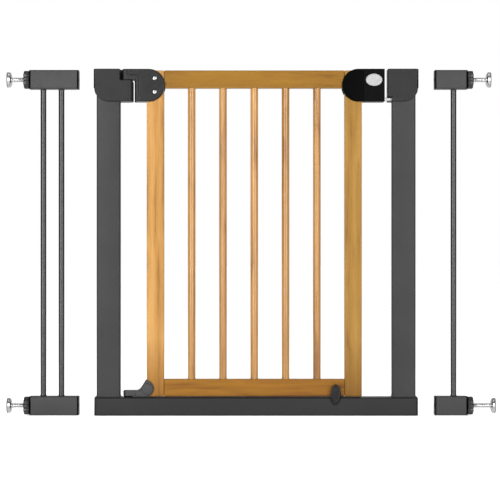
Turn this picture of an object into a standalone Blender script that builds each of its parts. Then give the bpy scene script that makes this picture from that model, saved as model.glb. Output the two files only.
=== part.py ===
"""Pressure-fit safety gate: a steel U-frame, a wooden leaf that swings in it, and two width extensions.

Metres, +Z up. The origin is the middle of the bottom bar's underside, +X is to the right seen from the
front, and the front faces -Y. Each body that moves hangs on an empty that stands on its joint's axis.
"""
import math

import bmesh
import bpy
from mathutils import Matrix, Vector

# Clearance between pieces that touch, and round a shaft in its hole
GAP = 0.0003
SLIP = 0.0004

# U-frame: two rectangular posts on a threshold bar that ends flush with them
FRAME_HEIGHT = 0.760
POST_X = 0.324
POST_WIDTH = 0.052
POST_DEPTH = 0.025
POST_CORNER = 0.005
TUBE_WALL = 0.0015
BAR_HALF_LENGTH = POST_X + POST_WIDTH / 2
BAR_HEIGHT = 0.040
BAR_DEPTH = 0.040
BAR_CORNER = 0.005
PLUG_FLANGE = 0.004
PLUG_DEPTH = 0.022
OPENING_HALF = POST_X - POST_WIDTH / 2

# Leaf: two stiles, two rails, and round bars a little thinner than the wood that holds them
LEAF_BAR_RADIUS = 0.0085
WOOD_DEPTH = 2 * LEAF_BAR_RADIUS + 0.003
STILE_WIDTH = 0.038
TOP_RAIL_HEIGHT = 0.039
BOTTOM_RAIL_HEIGHT = 0.038
TENON_LENGTH = 0.015
TENON_DEPTH = WOOD_DEPTH / 2
BAR_COUNT = 5
LEAF_BAR_SEAT = 0.012
LEAF_BOTTOM = BAR_HEIGHT + 0.0016
LEAF_TOP = FRAME_HEIGHT - 0.003

# Plastic caps on the posts and on the leaf's upper corners
CAP_OUTER_X = BAR_HALF_LENGTH + 0.006
CAP_HEIGHT = 0.0717
CAP_HALF_DEPTH = POST_DEPTH / 2 + 0.0045
CAP_ROOF = 0.0077
LEAF_CAP_HALF_DEPTH = WOOD_DEPTH / 2 + 0.0055
LEAF_CAP_ROUND = CAP_HEIGHT / 2
CAP_FLOOR_Z = FRAME_HEIGHT - CAP_HEIGHT

# Hinge line, the same for the upper knuckles and the lower pin. Reaches are from the line.
HINGE_X = 0.0165 - OPENING_HALF
HINGE_PIN_RADIUS = 0.004
KNUCKLE_Z = FRAME_HEIGHT - 0.0245
FIXED_KNUCKLE_REACH = 0.012
FIXED_NOSE = 0.011
MOVING_KNUCKLE_REACH = 0.012
MOVING_NOSE = 0.010
KNUCKLE_SEAT_REACH = LEAF_CAP_HALF_DEPTH + 0.0013
KNUCKLE_LIP_REACH = 0.008
MOVING_BLOCK_OFFSET = CAP_HALF_DEPTH + 0.0005
REAR_LIP_OFFSET = 0.0136
REAR_LIP_START = 0.0095
LEAF_LEFT = HINGE_X + 0.0415

# Latch: housing, push button, bolt and keeper
KEEPER_LEFT = OPENING_HALF - 0.0098
LATCH_RIGHT = KEEPER_LEFT - 0.0063
LATCH_WIDTH = 0.0499
LEAF_RIGHT = LATCH_RIGHT - LATCH_WIDTH
MECHANISM_LEFT = LEAF_RIGHT + 0.0035
MECHANISM_WALL = 0.003
BUTTON_X = (MECHANISM_LEFT + LATCH_RIGHT) / 2 - 0.0003
BUTTON_Z = FRAME_HEIGHT - 0.0244
BUTTON_HALF_WIDTH = (LATCH_RIGHT - MECHANISM_LEFT) / 2 - 0.005
BUTTON_HALF_HEIGHT = 0.0135
BUTTON_PROUD = 0.0025
BUTTON_FLANGE = 0.0013
BOLT_BOTTOM = CAP_FLOOR_Z + 0.002
BOLT_HEIGHT = 0.007
BOLT_DEPTH = 0.010
BOLT_LEFT = MECHANISM_LEFT + 0.015
BOLT_TIP = OPENING_HALF + 0.006
SPRING_WIRE = 0.0009
SPRING_RADIUS = 0.0027
SPRING_TURNS = 6

# Screws through the moving hinge block
SCREW_X = LEAF_LEFT + 0.0175
SCREW_HEIGHTS = (FRAME_HEIGHT - 0.0206, FRAME_HEIGHT - 0.0507)
SCREW_HEAD_RADIUS = 0.005
SCREW_SHANK_RADIUS = 0.0022

# Lower hinge bracket and door stop
BRACKET_BOTTOM = BAR_HEIGHT + 0.0023
BRACKET_TOE_TOP = BAR_HEIGHT + 0.015
BRACKET_TOE_RADIUS = 0.0106
BRACKET_APEX = Vector((LEAF_LEFT - 0.0027, BAR_HEIGHT + 0.0377))
BRACKET_PAD_RADIUS = 0.0184
BUSH_FLANGE_RADIUS = 0.0095
BUSH_RADIUS = 0.0065
BUSH_DEPTH = 0.014
STOP_X = LEAF_RIGHT - STILE_WIDTH - 0.0203
STOP_PIVOT_Z = LEAF_BOTTOM + 0.0164
STOP_DROP = 0.011
STOP_HALF_WIDTH = 0.0113
STOP_HALF_HEIGHT = 0.0222
STOP_BACK = BAR_DEPTH / 2 + 0.0006
STOP_THICKNESS = 0.0056
STOP_BOSS_RADIUS = 0.008

# Extensions: short rails, round uprights and four hand-screwed wall fixings
EXTENSION_HEIGHT = FRAME_HEIGHT - 0.002
RAIL_HEIGHT = 0.042
RAIL_DEPTH = 0.025
RAIL_CORNER = 0.004
RAIL_CAP = 0.003
LEFT_LENGTH = 0.108
LEFT_EXTENSION = (-CAP_OUTER_X - 0.0335 - LEFT_LENGTH, -CAP_OUTER_X - 0.0335)
LEFT_UPRIGHTS = (LEFT_EXTENSION[0] + 0.0297, LEFT_EXTENSION[0] + 0.0695)
RIGHT_LENGTH = 0.072
RIGHT_EXTENSION = (CAP_OUTER_X + 0.036, CAP_OUTER_X + 0.036 + RIGHT_LENGTH)
RIGHT_UPRIGHTS = (RIGHT_EXTENSION[0] + 0.0422,)
UPRIGHT_RADIUS = 0.0064
UPRIGHT_WALL = 0.0011
WELD_FLARE = 0.002
SPINDLE_RADIUS = 0.005
SPINDLE_LENGTH = 0.088
WHEEL_RADIUS = 0.020
WHEEL_THICKNESS = 0.012
WHEEL_RIBS = 10
WHEEL_RIB_DEPTH = 0.0016
HEAD_RADIUS = 0.017
HEAD_THICKNESS = 0.004
HEAD_DOME = 0.005
PAD_THICKNESS = 0.002
LEFT_REACH = {"top": 0.0265, "bottom": 0.0265}
RIGHT_REACH = {"top": 0.0285, "bottom": 0.0385}

POST_TOP = FRAME_HEIGHT - CAP_ROOF
RAIL_MIDDLE = {"top": EXTENSION_HEIGHT - RAIL_HEIGHT / 2, "bottom": RAIL_HEIGHT / 2}


# ---- Making and placing solids

def clear_scene():
    for obj in list(bpy.data.objects):
        bpy.data.objects.remove(obj, do_unlink=True)


def finish_of(name, colour, roughness, metallic=0.0):
    """A new Principled BSDF material; colour is linear RGB."""
    material = bpy.data.materials.new(name)
    material.use_nodes = True
    shader = material.node_tree.nodes["Principled BSDF"]
    shader.inputs["Base Color"].default_value = (*colour, 1.0)
    shader.inputs["Roughness"].default_value = roughness
    shader.inputs["Metallic"].default_value = metallic
    return material


def body_at(name, location=(0.0, 0.0, 0.0)):
    """An empty that carries one moving body, placed on its joint's axis."""
    empty = bpy.data.objects.new(name, None)
    empty.location = location
    empty.empty_display_size = 0.03
    bpy.context.scene.collection.objects.link(empty)
    return empty


def add_piece(mesh, name, body=None, finish=None):
    """Turn a bmesh drawn in world coordinates into an object that hangs on its body's empty."""
    bmesh.ops.recalc_face_normals(mesh, faces=mesh.faces)
    data = bpy.data.meshes.new(name)
    mesh.to_mesh(data)
    mesh.free()
    obj = bpy.data.objects.new(name, data)
    bpy.context.scene.collection.objects.link(obj)
    if finish:
        data.materials.append(finish)
    if body:
        data.transform(Matrix.Translation(-body.location))
        obj.parent = body
    return obj


def add_cutter(mesh, name):
    cutter = add_piece(mesh, name)
    cutter.hide_render = True
    cutter.display_type = "WIRE"
    return cutter


def cut(obj, *cutters, operation="DIFFERENCE"):
    for cutter in cutters:
        modifier = obj.modifiers.new(cutter.name, "BOOLEAN")
        modifier.operation = operation
        modifier.object = cutter


def smooth(obj, angle=40):
    """Shade round faces smooth and keep edges sharper than the angle."""
    obj.data.shade_smooth()
    obj.data.set_sharp_from_angle(angle=math.radians(angle))
    return obj


def ease_edges(obj, width, segments=2):
    """Round every sharp edge of a piece, ahead of its cuts so that they stay square."""
    bevel = obj.modifiers.new("eased edges", "BEVEL")
    bevel.width = width
    bevel.segments = segments
    bevel.limit_method = "ANGLE"
    bevel.angle_limit = math.radians(50)


# ---- Outlines, as lists of points in one plane

def arc(centre, radius, start, end, steps):
    """Points along an arc, angles in degrees."""
    angles = [math.radians(start + (end - start) * i / steps) for i in range(steps + 1)]
    return [(centre[0] + radius * math.cos(a), centre[1] + radius * math.sin(a)) for a in angles]


def oval(centre, half_width, half_height, steps=32):
    """An ellipse as a closed outline."""
    angles = [2 * math.pi * i / steps for i in range(steps)]
    return [(centre[0] + half_width * math.cos(a), centre[1] + half_height * math.sin(a)) for a in angles]


def rounded_box(low, high, radii, steps=4):
    """A rectangle; radii are for its lower right, upper right, upper left and lower left corners."""
    corners = ((high[0], low[1], 1, -1, 270), (high[0], high[1], 1, 1, 0),
               (low[0], high[1], -1, 1, 90), (low[0], low[1], -1, -1, 180))
    outline = []
    for (x, y, side_x, side_y, start), radius in zip(corners, radii):
        if radius:
            outline += arc((x - side_x * radius, y - side_y * radius), radius, start, start + 90, steps)
        else:
            outline.append((x, y))
    return outline


def in_space(point, along, axis):
    """The point of an outline at a place along the axis that it is extruded on."""
    a, b = point
    return {"X": (along, a, b), "Y": (a, along, b), "Z": (a, b, along)}[axis]


def extruded(outline, axis, start, end):
    """A closed outline extruded along an axis, as a bmesh."""
    mesh = bmesh.new()
    face = mesh.faces.new([mesh.verts.new(in_space(p, start, axis)) for p in outline])
    moved = bmesh.ops.extrude_face_region(mesh, geom=[face], use_keep_orig=True)
    offset = Vector(in_space((0, 0), end - start, axis))
    corners = [v for v in moved["geom"] if isinstance(v, bmesh.types.BMVert)]
    bmesh.ops.translate(mesh, vec=offset, verts=corners)
    return mesh


def hollow(outer, inner, axis, start, end):
    """A tube between two outlines of the same number of points, open at both ends, as a bmesh."""
    mesh = bmesh.new()
    rings = [[mesh.verts.new(in_space(p, along, axis)) for p in outline]
             for outline, along in ((outer, start), (outer, end), (inner, end), (inner, start))]
    for near, far in zip(rings, rings[1:] + rings[:1]):
        bridge(mesh, near, far)
    return mesh


def bridge(mesh, near, far):
    for i in range(len(near)):
        j = (i + 1) % len(near)
        mesh.faces.new((near[i], near[j], far[j], far[i]))


def turned(profile, centre, axis, steps=24):
    """A closed profile of (radius, place along the axis) turned about an axis, as a bmesh."""
    mesh = bmesh.new()
    verts = [mesh.verts.new(in_space((0, 0), along, axis)) for _, along in profile]
    outward = Vector(in_space((1, 0), 0, axis))
    for vert, (radius, _) in zip(verts, profile):
        vert.co += outward * radius
    edges = [mesh.edges.new((a, b)) for a, b in zip(verts, verts[1:] + verts[:1])]
    direction = Vector(in_space((0, 0), 1, axis))
    bmesh.ops.spin(mesh, geom=verts + edges, cent=(0, 0, 0), axis=direction, angle=2 * math.pi,
                   steps=steps, use_duplicate=False, use_merge=True)
    bmesh.ops.remove_doubles(mesh, verts=mesh.verts, dist=1e-6)
    loose = [edge for edge in mesh.edges if not edge.link_faces]
    bmesh.ops.delete(mesh, geom=loose, context="EDGES")
    bmesh.ops.translate(mesh, vec=Vector(in_space(centre, 0, axis)), verts=mesh.verts)
    return mesh


def block(low, high):
    """A box between two corners, as a bmesh."""
    return extruded(rounded_box(low[:2], high[:2], (0, 0, 0, 0)), "Z", low[2], high[2])


def rod(radius, centre, axis, start, end, steps=20):
    return turned([(0, start), (radius, start), (radius, end), (0, end)], centre, axis, steps)


# ---- Steel U-frame

def frame_post(name, side, frame, finish):
    x = side * POST_X
    half = Vector((POST_WIDTH / 2, POST_DEPTH / 2))
    outer = rounded_box((x - half.x, -half.y), (x + half.x, half.y), (POST_CORNER,) * 4)
    wall = Vector((TUBE_WALL, TUBE_WALL))
    inner_half = half - wall
    inner_radii = (POST_CORNER - TUBE_WALL,) * 4
    inner = rounded_box((x - inner_half.x, -inner_half.y), (x + inner_half.x, inner_half.y), inner_radii)
    mesh = hollow(outer, inner, "Z", BAR_HEIGHT + GAP, POST_TOP - GAP)
    return smooth(add_piece(mesh, name, frame, finish))


def bottom_bar(frame, finish):
    outer = rounded_box((-BAR_DEPTH / 2, 0), (BAR_DEPTH / 2, BAR_HEIGHT), (BAR_CORNER,) * 4)
    inner = rounded_box((TUBE_WALL - BAR_DEPTH / 2, TUBE_WALL),
                        (BAR_DEPTH / 2 - TUBE_WALL, BAR_HEIGHT - TUBE_WALL),
                        (BAR_CORNER - TUBE_WALL,) * 4)
    bar = add_piece(hollow(outer, inner, "X", -BAR_HALF_LENGTH, BAR_HALF_LENGTH), "bottom_bar", frame, finish)
    hole = rod(BUSH_RADIUS + GAP, (HINGE_X, 0), "Z", BAR_HEIGHT / 2, BAR_HEIGHT * 1.5)
    cut(bar, add_cutter(hole, "bush hole"))
    return smooth(bar)


def end_plug(name, side, frame, finish):
    """A plug for the bar's open end: a flange outside, a spigot inside and a socket for a joining stud."""
    end = side * BAR_HALF_LENGTH
    flange = extruded(rounded_box((-BAR_DEPTH / 2, 0), (BAR_DEPTH / 2, BAR_HEIGHT), (BAR_CORNER,) * 4),
                      "X", end + side * GAP, end + side * PLUG_FLANGE)
    inset = TUBE_WALL + GAP
    spigot = extruded(rounded_box((inset - BAR_DEPTH / 2, inset), (BAR_DEPTH / 2 - inset, BAR_HEIGHT - inset),
                                  (BAR_CORNER - TUBE_WALL,) * 4),
                      "X", end - side * PLUG_DEPTH, end + side * PLUG_FLANGE / 2)
    socket = rod(SPINDLE_RADIUS + SLIP, (0, RAIL_MIDDLE["bottom"]), "X",
                 end - side * PLUG_DEPTH * 0.8, end + side * PLUG_FLANGE * 2)
    plug = add_piece(flange, name, frame, finish)
    cut(plug, add_cutter(spigot, name + " spigot"), operation="UNION")
    cut(plug, add_cutter(socket, name + " socket"))
    return plug


def cap_outline(inner_x, side):
    """Front view of a post cap: flat outer side, a small step, then a curve in to the underside."""
    step_z = CAP_FLOOR_Z + 0.030
    outer = CAP_OUTER_X
    curve = [(outer - 0.0015 - 0.034 * (1 - math.cos(a)), step_z - 0.0015 - 0.0285 * math.sin(a))
             for a in [math.radians(15 * i) for i in range(7)]]
    outline = [(inner_x, FRAME_HEIGHT), (outer - 0.002, FRAME_HEIGHT), (outer, FRAME_HEIGHT - 0.002),
               (outer, step_z)] + curve + [(inner_x, CAP_FLOOR_Z)]
    return [(side * x, z) for x, z in outline]


def half_range(face, half_depth):
    """The Y range of a front (-1) or rear (+1) shell."""
    return face * GAP / 2, face * half_depth


def post_pocket(name, side):
    reach = POST_WIDTH / 2 + GAP
    low = (side * POST_X - reach, -POST_DEPTH / 2 - GAP, CAP_FLOOR_Z - 0.01)
    high = (side * POST_X + reach, POST_DEPTH / 2 + GAP, POST_TOP)
    return add_cutter(block(low, high), name)


def stud_socket(name, side):
    """A cross hole in a cap's outer side for an extension's joining stud, stopping short of the post."""
    start = side * (POST_X + POST_WIDTH / 2 - 0.002)
    return add_cutter(rod(SPINDLE_RADIUS + SLIP, (0, RAIL_MIDDLE["top"]), "X", start, side * 0.4), name)


def hinge_housing(frame, finish):
    """The fixed half of the upper hinge: two shells round the post's head, with a knuckle low down.

    Above it the front shell stops square beside the moving knuckle, and the rear one curls round it.
    """
    nose = HINGE_X + FIXED_KNUCKLE_REACH
    plan = rounded_box((-CAP_OUTER_X, -CAP_HALF_DEPTH), (nose, CAP_HALF_DEPTH),
                       (FIXED_NOSE, FIXED_NOSE, 0.005, 0.005), steps=5)
    rounding = add_cutter(extruded(plan, "Z", CAP_FLOOR_Z - 0.02, FRAME_HEIGHT + 0.02), "fixed knuckle plan")
    far = (nose + 0.01, 0.03, FRAME_HEIGHT + 0.01)
    seat = add_cutter(block((HINGE_X - KNUCKLE_SEAT_REACH, -0.03, KNUCKLE_Z), far), "moving knuckle seat")
    lip = add_cutter(block((HINGE_X - KNUCKLE_LIP_REACH, -0.03, KNUCKLE_Z), far), "rear lip end")
    sweep = rod(LEAF_CAP_HALF_DEPTH + 0.0009, (HINGE_X, 0), "Z", KNUCKLE_Z, FRAME_HEIGHT + 0.01, 32)
    bore = add_cutter(rod(HINGE_PIN_RADIUS + GAP, (HINGE_X, 0), "Z", CAP_FLOOR_Z + 0.003, FRAME_HEIGHT),
                      "fixed knuckle bore")
    pocket, socket = post_pocket("hinge post pocket", -1), stud_socket("hinge stud socket", -1)
    notches = {-1: (seat,), 1: (lip, add_cutter(sweep, "moving knuckle sweep"))}
    for name, face in (("hinge_housing_front", -1), ("hinge_housing_rear", 1)):
        mesh = extruded(cap_outline(-nose, -1), "Y", *half_range(face, CAP_HALF_DEPTH))
        shell = add_piece(mesh, name, frame, finish)
        cut(shell, rounding, operation="INTERSECT")
        cut(shell, *notches[face], bore, pocket, socket)
        smooth(shell, 30)


def keeper(frame, finish):
    """The latch's fixed half: two shells round the post's head, with a window for the bolt.

    The bolt runs on through a slot in the post's inner wall.
    """
    plan = rounded_box((KEEPER_LEFT, -CAP_HALF_DEPTH), (CAP_OUTER_X, CAP_HALF_DEPTH),
                       (0.005, 0.005, 0.003, 0.003))
    rounding = add_cutter(extruded(plan, "Z", CAP_FLOOR_Z - 0.02, FRAME_HEIGHT + 0.02), "keeper plan")
    middle = BOLT_BOTTOM + BOLT_HEIGHT / 2
    window_right = POST_X - POST_WIDTH / 2 - GAP
    window = add_cutter(block((KEEPER_LEFT - 0.01, -0.03, middle - 0.0048),
                              (window_right + 0.0015, BOLT_DEPTH / 2 + 0.001, middle + 0.0055)),
                        "bolt window")
    side = BOLT_DEPTH / 2 + SLIP
    socket = add_cutter(block((window_right, -side, BOLT_BOTTOM - SLIP),
                              (BOLT_TIP + SLIP, side, BOLT_BOTTOM + BOLT_HEIGHT + SLIP)), "bolt socket")
    pocket, stud = post_pocket("keeper post pocket", 1), stud_socket("keeper stud socket", 1)
    for name, face in (("keeper_front", -1), ("keeper_rear", 1)):
        mesh = extruded(cap_outline(KEEPER_LEFT, 1), "Y", *half_range(face, CAP_HALF_DEPTH))
        shell = add_piece(mesh, name, frame, finish)
        cut(shell, rounding, operation="INTERSECT")
        cut(shell, window, socket, pocket, stud)
        smooth(shell, 30)
    cut(bpy.data.objects["right_post"], socket)


def lower_bush(frame, finish):
    """A flanged bush pressed into the bar's upper wall."""
    bore = HINGE_PIN_RADIUS + SLIP
    bottom, flange = BAR_HEIGHT - BUSH_DEPTH, BAR_HEIGHT + GAP
    profile = [(bore, bottom), (BUSH_RADIUS, bottom), (BUSH_RADIUS, flange), (BUSH_FLANGE_RADIUS, flange),
               (BUSH_FLANGE_RADIUS, BRACKET_BOTTOM - 2 * GAP), (bore, BRACKET_BOTTOM - 2 * GAP)]
    return smooth(add_piece(turned(profile, (HINGE_X, 0), "Z"), "lower_hinge_bush", frame, finish))


def upper_pin(leaf, finish):
    start, end = CAP_FLOOR_Z + 0.003 + GAP, FRAME_HEIGHT - 0.003
    pin = rod(HINGE_PIN_RADIUS, (HINGE_X, 0), "Z", start, end)
    return smooth(add_piece(pin, "hinge_pin", leaf, finish))


# ---- Wooden leaf

def leaf_bar_places():
    """Middles of the leaf's round bars, with equal gaps between bars and stiles."""
    clear = LEAF_RIGHT - LEAF_LEFT - 2 * STILE_WIDTH
    pitch = (clear + 2 * LEAF_BAR_RADIUS) / (BAR_COUNT + 1)
    first = LEAF_LEFT + STILE_WIDTH - LEAF_BAR_RADIUS
    return [first + pitch * (i + 1) for i in range(BAR_COUNT)]


def tenon(name, inner_x, side, rail_low, rail_high, grow=0.0):
    """A rail's tongue into a stile, or with grow the mortise that it fits."""
    far = inner_x + side * (TENON_LENGTH + grow)
    shoulder, cheek = 0.006 - grow, TENON_DEPTH / 2 + grow
    low = (min(inner_x - side * 0.004, far), -cheek, rail_low + shoulder)
    high = (max(inner_x - side * 0.004, far), cheek, rail_high - shoulder)
    return add_cutter(block(low, high), name)


def screw_holes():
    holes = []
    for height in SCREW_HEIGHTS:
        label = f"screw hole {height:.3f}"
        holes.append(add_cutter(rod(SCREW_SHANK_RADIUS + SLIP, (SCREW_X, height), "Y",
                                    -0.03, LEAF_CAP_HALF_DEPTH - 0.0025, 16), label))
    return holes


def leaf_wood(leaf, finish, holes):
    """Two full-height stiles, two rails tenoned between them, and bars seated in blind holes."""
    half = WOOD_DEPTH / 2
    rails = {"top_rail": (LEAF_TOP - TOP_RAIL_HEIGHT, LEAF_TOP),
             "bottom_rail": (LEAF_BOTTOM, LEAF_BOTTOM + BOTTOM_RAIL_HEIGHT)}
    inner = {-1: LEAF_LEFT + STILE_WIDTH, 1: LEAF_RIGHT - STILE_WIDTH}
    stiles = {-1: ("left_stile", LEAF_LEFT, inner[-1]), 1: ("right_stile", inner[1], LEAF_RIGHT)}
    for side, (name, low, high) in stiles.items():
        stile = add_piece(block((low, -half, LEAF_BOTTOM), (high, half, LEAF_TOP)), name, leaf, finish)
        ease_edges(stile, 0.002)
        for rail, (rail_low, rail_high) in rails.items():
            cut(stile, tenon(f"{name} {rail} mortise", inner[side], side, rail_low, rail_high, GAP))
        if side < 0:
            cut(stile, *holes)
    seats = []
    for number, x in enumerate(leaf_bar_places(), 1):
        low, high = rails["bottom_rail"][1] - LEAF_BAR_SEAT, rails["top_rail"][0] + LEAF_BAR_SEAT
        bar = rod(LEAF_BAR_RADIUS, (x, 0), "Z", low + GAP, high - GAP, 16)
        smooth(add_piece(bar, f"leaf_bar_{number}", leaf, finish))
        seat = rod(LEAF_BAR_RADIUS + 0.0005, (x, 0), "Z", low, high, 16)
        seats.append(add_cutter(seat, f"bar seat {number}"))
    for rail, (rail_low, rail_high) in rails.items():
        low = (inner[-1] + GAP, -half, rail_low)
        high = (inner[1] - GAP, half, rail_high)
        piece = add_piece(block(low, high), rail, leaf, finish)
        for side in (-1, 1):
            cut(piece, tenon(f"{rail} tenon {side}", inner[side], side, rail_low, rail_high),
                operation="UNION")
        cut(piece, *seats)
    pivot = rod(SCREW_SHANK_RADIUS + SLIP, (STOP_X, STOP_PIVOT_Z), "Y", -0.02, half - 0.004)
    cut(bpy.data.objects["bottom_rail"], add_cutter(pivot, "stop screw hole"))


def leaf_cap_plan(name, low_x, high_x, nose=0.0):
    """Plan view of a leaf cap: a nose radius at its left end where the hinge needs one."""
    plan = rounded_box((low_x, -LEAF_CAP_HALF_DEPTH), (high_x, LEAF_CAP_HALF_DEPTH),
                       (0.002, 0.002, nose, nose), steps=5)
    return add_cutter(extruded(plan, "Z", CAP_FLOOR_Z - 0.02, FRAME_HEIGHT + 0.02), name)


def moving_hinge(leaf, finish, metal, holes):
    """The leaf's half of the upper hinge: two shells screwed through the stile, with the upper knuckle.

    The rear shell's lip reaches nearer to the fixed knuckle, and covers most of the gap between them.
    """
    left, knuckle_floor = HINGE_X - MOVING_KNUCKLE_REACH, KNUCKLE_Z + GAP
    centre = (LEAF_LEFT + STILE_WIDTH + 0.0023 - LEAF_CAP_ROUND, (CAP_FLOOR_Z + FRAME_HEIGHT) / 2)
    rounding = leaf_cap_plan("moving hinge plan", left, centre[0] + LEAF_CAP_ROUND, MOVING_NOSE)
    bore = add_cutter(rod(HINGE_PIN_RADIUS + GAP, (HINGE_X, 0), "Z", KNUCKLE_Z - 0.01, FRAME_HEIGHT - 0.0025),
                      "moving knuckle bore")
    relief = add_cutter(block((HINGE_X, -0.01, CAP_FLOOR_Z - 0.01),
                              (HINGE_X + MOVING_BLOCK_OFFSET, REAR_LIP_START, knuckle_floor)),
                        "rear lip relief")
    wood = wood_pocket("left wood pocket", LEAF_LEFT - GAP, 0.0)
    for name, face in (("hinge_leaf_front", -1), ("hinge_leaf_rear", 1)):
        block_left = HINGE_X + (MOVING_BLOCK_OFFSET if face < 0 else REAR_LIP_OFFSET)
        outline = ([(left, FRAME_HEIGHT), (left, knuckle_floor), (block_left, knuckle_floor),
                    (block_left, CAP_FLOOR_Z)] + arc(centre, LEAF_CAP_ROUND, -90, 90, 14))
        mesh = extruded(outline, "Y", *half_range(face, LEAF_CAP_HALF_DEPTH))
        shell = add_piece(mesh, name, leaf, finish)
        cut(shell, rounding, operation="INTERSECT")
        cut(shell, wood, bore, *holes)
        if face > 0:
            cut(shell, relief)
        else:
            for height in SCREW_HEIGHTS:
                sink = rod(SCREW_HEAD_RADIUS + GAP, (SCREW_X, height), "Y",
                           -0.03, -LEAF_CAP_HALF_DEPTH + 0.003)
                cut(shell, add_cutter(sink, f"screw sink {height:.3f}"))
        smooth(shell, 30)
    for name, height in zip(("hinge_screw_upper", "hinge_screw_lower"), SCREW_HEIGHTS):
        front = -LEAF_CAP_HALF_DEPTH
        profile = [(0, front), (0.0038, front), (SCREW_HEAD_RADIUS, front + 0.001),
                   (SCREW_HEAD_RADIUS, front + 0.003 - GAP), (SCREW_SHANK_RADIUS, front + 0.003 - GAP),
                   (SCREW_SHANK_RADIUS, -front - 0.003), (0, -front - 0.003)]
        smooth(add_piece(turned(profile, (SCREW_X, height), "Y", 16), name, leaf, metal))


def wood_pocket(name, low_x, high_x):
    """The space that the leaf's wooden corner fills inside its plastic cap."""
    half = WOOD_DEPTH / 2 + GAP
    return add_cutter(block((low_x, -half, CAP_FLOOR_Z - 0.01), (high_x, half, LEAF_TOP + GAP)), name)


def lower_bracket(leaf, finish, metal):
    """A shoe round the stile's foot, with a toe on the hinge line that holds the lower pin."""
    apex, pad = BRACKET_APEX, BRACKET_PAD_RADIUS
    toe_left = HINGE_X - BRACKET_TOE_RADIUS
    rise = [(toe_left + 0.032 + 0.0175 * (i / 6) ** 0.9, BRACKET_TOE_TOP + 0.0227 * (i / 6) ** 1.25)
            for i in range(6)]
    outline = ([(toe_left, BRACKET_BOTTOM), (toe_left, BRACKET_TOE_TOP - 0.002),
                (toe_left + 0.002, BRACKET_TOE_TOP)] + rise
               + arc((apex.x, apex.y - pad), pad, 90, -60, 12) + [(apex.x + 0.008, BRACKET_BOTTOM)])
    plan = rounded_box((toe_left, -BRACKET_TOE_RADIUS), (HINGE_X + 0.03, BRACKET_TOE_RADIUS),
                       (0, 0, BRACKET_TOE_RADIUS - 0.0001, BRACKET_TOE_RADIUS - 0.0001), steps=6)
    shoe = rounded_box((HINGE_X + MOVING_BLOCK_OFFSET, -LEAF_CAP_HALF_DEPTH), (0, LEAF_CAP_HALF_DEPTH),
                       (0, 0, 0.002, 0.002))
    bracket = add_piece(extruded(outline, "Y", -LEAF_CAP_HALF_DEPTH, LEAF_CAP_HALF_DEPTH),
                        "lower_hinge_bracket", leaf, finish)
    toe = add_cutter(extruded(plan, "Z", 0, 0.2), "bracket toe plan")
    cut(toe, add_cutter(extruded(shoe, "Z", -0.01, 0.21), "bracket shoe plan"), operation="UNION")
    half = WOOD_DEPTH / 2 + GAP
    wood = add_cutter(block((LEAF_LEFT - GAP, -half, LEAF_BOTTOM - GAP), (0, half, 0.2)), "foot pocket")
    pin_top = BRACKET_TOE_TOP - 0.004
    seat = add_cutter(rod(HINGE_PIN_RADIUS + GAP, (HINGE_X, 0), "Z", 0.02, pin_top), "lower pin seat")
    cut(bracket, toe, operation="INTERSECT")
    cut(bracket, wood, seat)
    smooth(bracket, 30)
    pin = rod(HINGE_PIN_RADIUS, (HINGE_X, 0), "Z", BAR_HEIGHT - BUSH_DEPTH + 0.002, pin_top - GAP)
    smooth(add_piece(pin, "lower_hinge_pin", leaf, metal))


# ---- Latch on the leaf's other upper corner

def latch_housing(leaf, finish):
    """Two shells round the stile's head, with a chamber for the bolt and its button beyond the wood."""
    centre = (LEAF_RIGHT - STILE_WIDTH - 0.0057 + LEAF_CAP_ROUND, (CAP_FLOOR_Z + FRAME_HEIGHT) / 2)
    outline = ([(LATCH_RIGHT, CAP_FLOOR_Z), (LATCH_RIGHT, FRAME_HEIGHT)]
               + arc(centre, LEAF_CAP_ROUND, 90, 270, 14))
    rounding = leaf_cap_plan("latch plan", centre[0] - LEAF_CAP_ROUND, LATCH_RIGHT)
    wood = wood_pocket("right wood pocket", 0.0, LEAF_RIGHT + GAP)
    inside = LEAF_CAP_HALF_DEPTH - MECHANISM_WALL
    chamber = add_cutter(block((MECHANISM_LEFT, -inside, BOLT_BOTTOM + BOLT_HEIGHT + 0.002),
                               (LATCH_RIGHT - MECHANISM_WALL, inside, FRAME_HEIGHT - MECHANISM_WALL)),
                         "latch chamber")
    side = BOLT_DEPTH / 2 + SLIP
    channel = add_cutter(block((MECHANISM_LEFT + 0.001, -side, BOLT_BOTTOM - SLIP),
                               (LATCH_RIGHT + 0.01, side, BOLT_BOTTOM + BOLT_HEIGHT + SLIP)), "bolt channel")
    slot = add_cutter(block((MECHANISM_LEFT + 0.002, -side, BOLT_BOTTOM),
                            (BUTTON_X + 0.006, side, BOLT_BOTTOM + BOLT_HEIGHT + 0.005)), "lever slot")
    window = add_cutter(extruded(oval((BUTTON_X, BUTTON_Z), BUTTON_HALF_WIDTH + SLIP,
                                      BUTTON_HALF_HEIGHT + SLIP), "Y", -0.03, -0.005), "button window")
    for name, face in (("latch_housing_front", -1), ("latch_housing_rear", 1)):
        mesh = extruded(outline, "Y", *half_range(face, LEAF_CAP_HALF_DEPTH))
        shell = add_piece(mesh, name, leaf, finish)
        cut(shell, rounding, operation="INTERSECT")
        cut(shell, wood, chamber, channel, slot)
        if face < 0:
            cut(shell, window)
        smooth(shell, 30)


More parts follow.
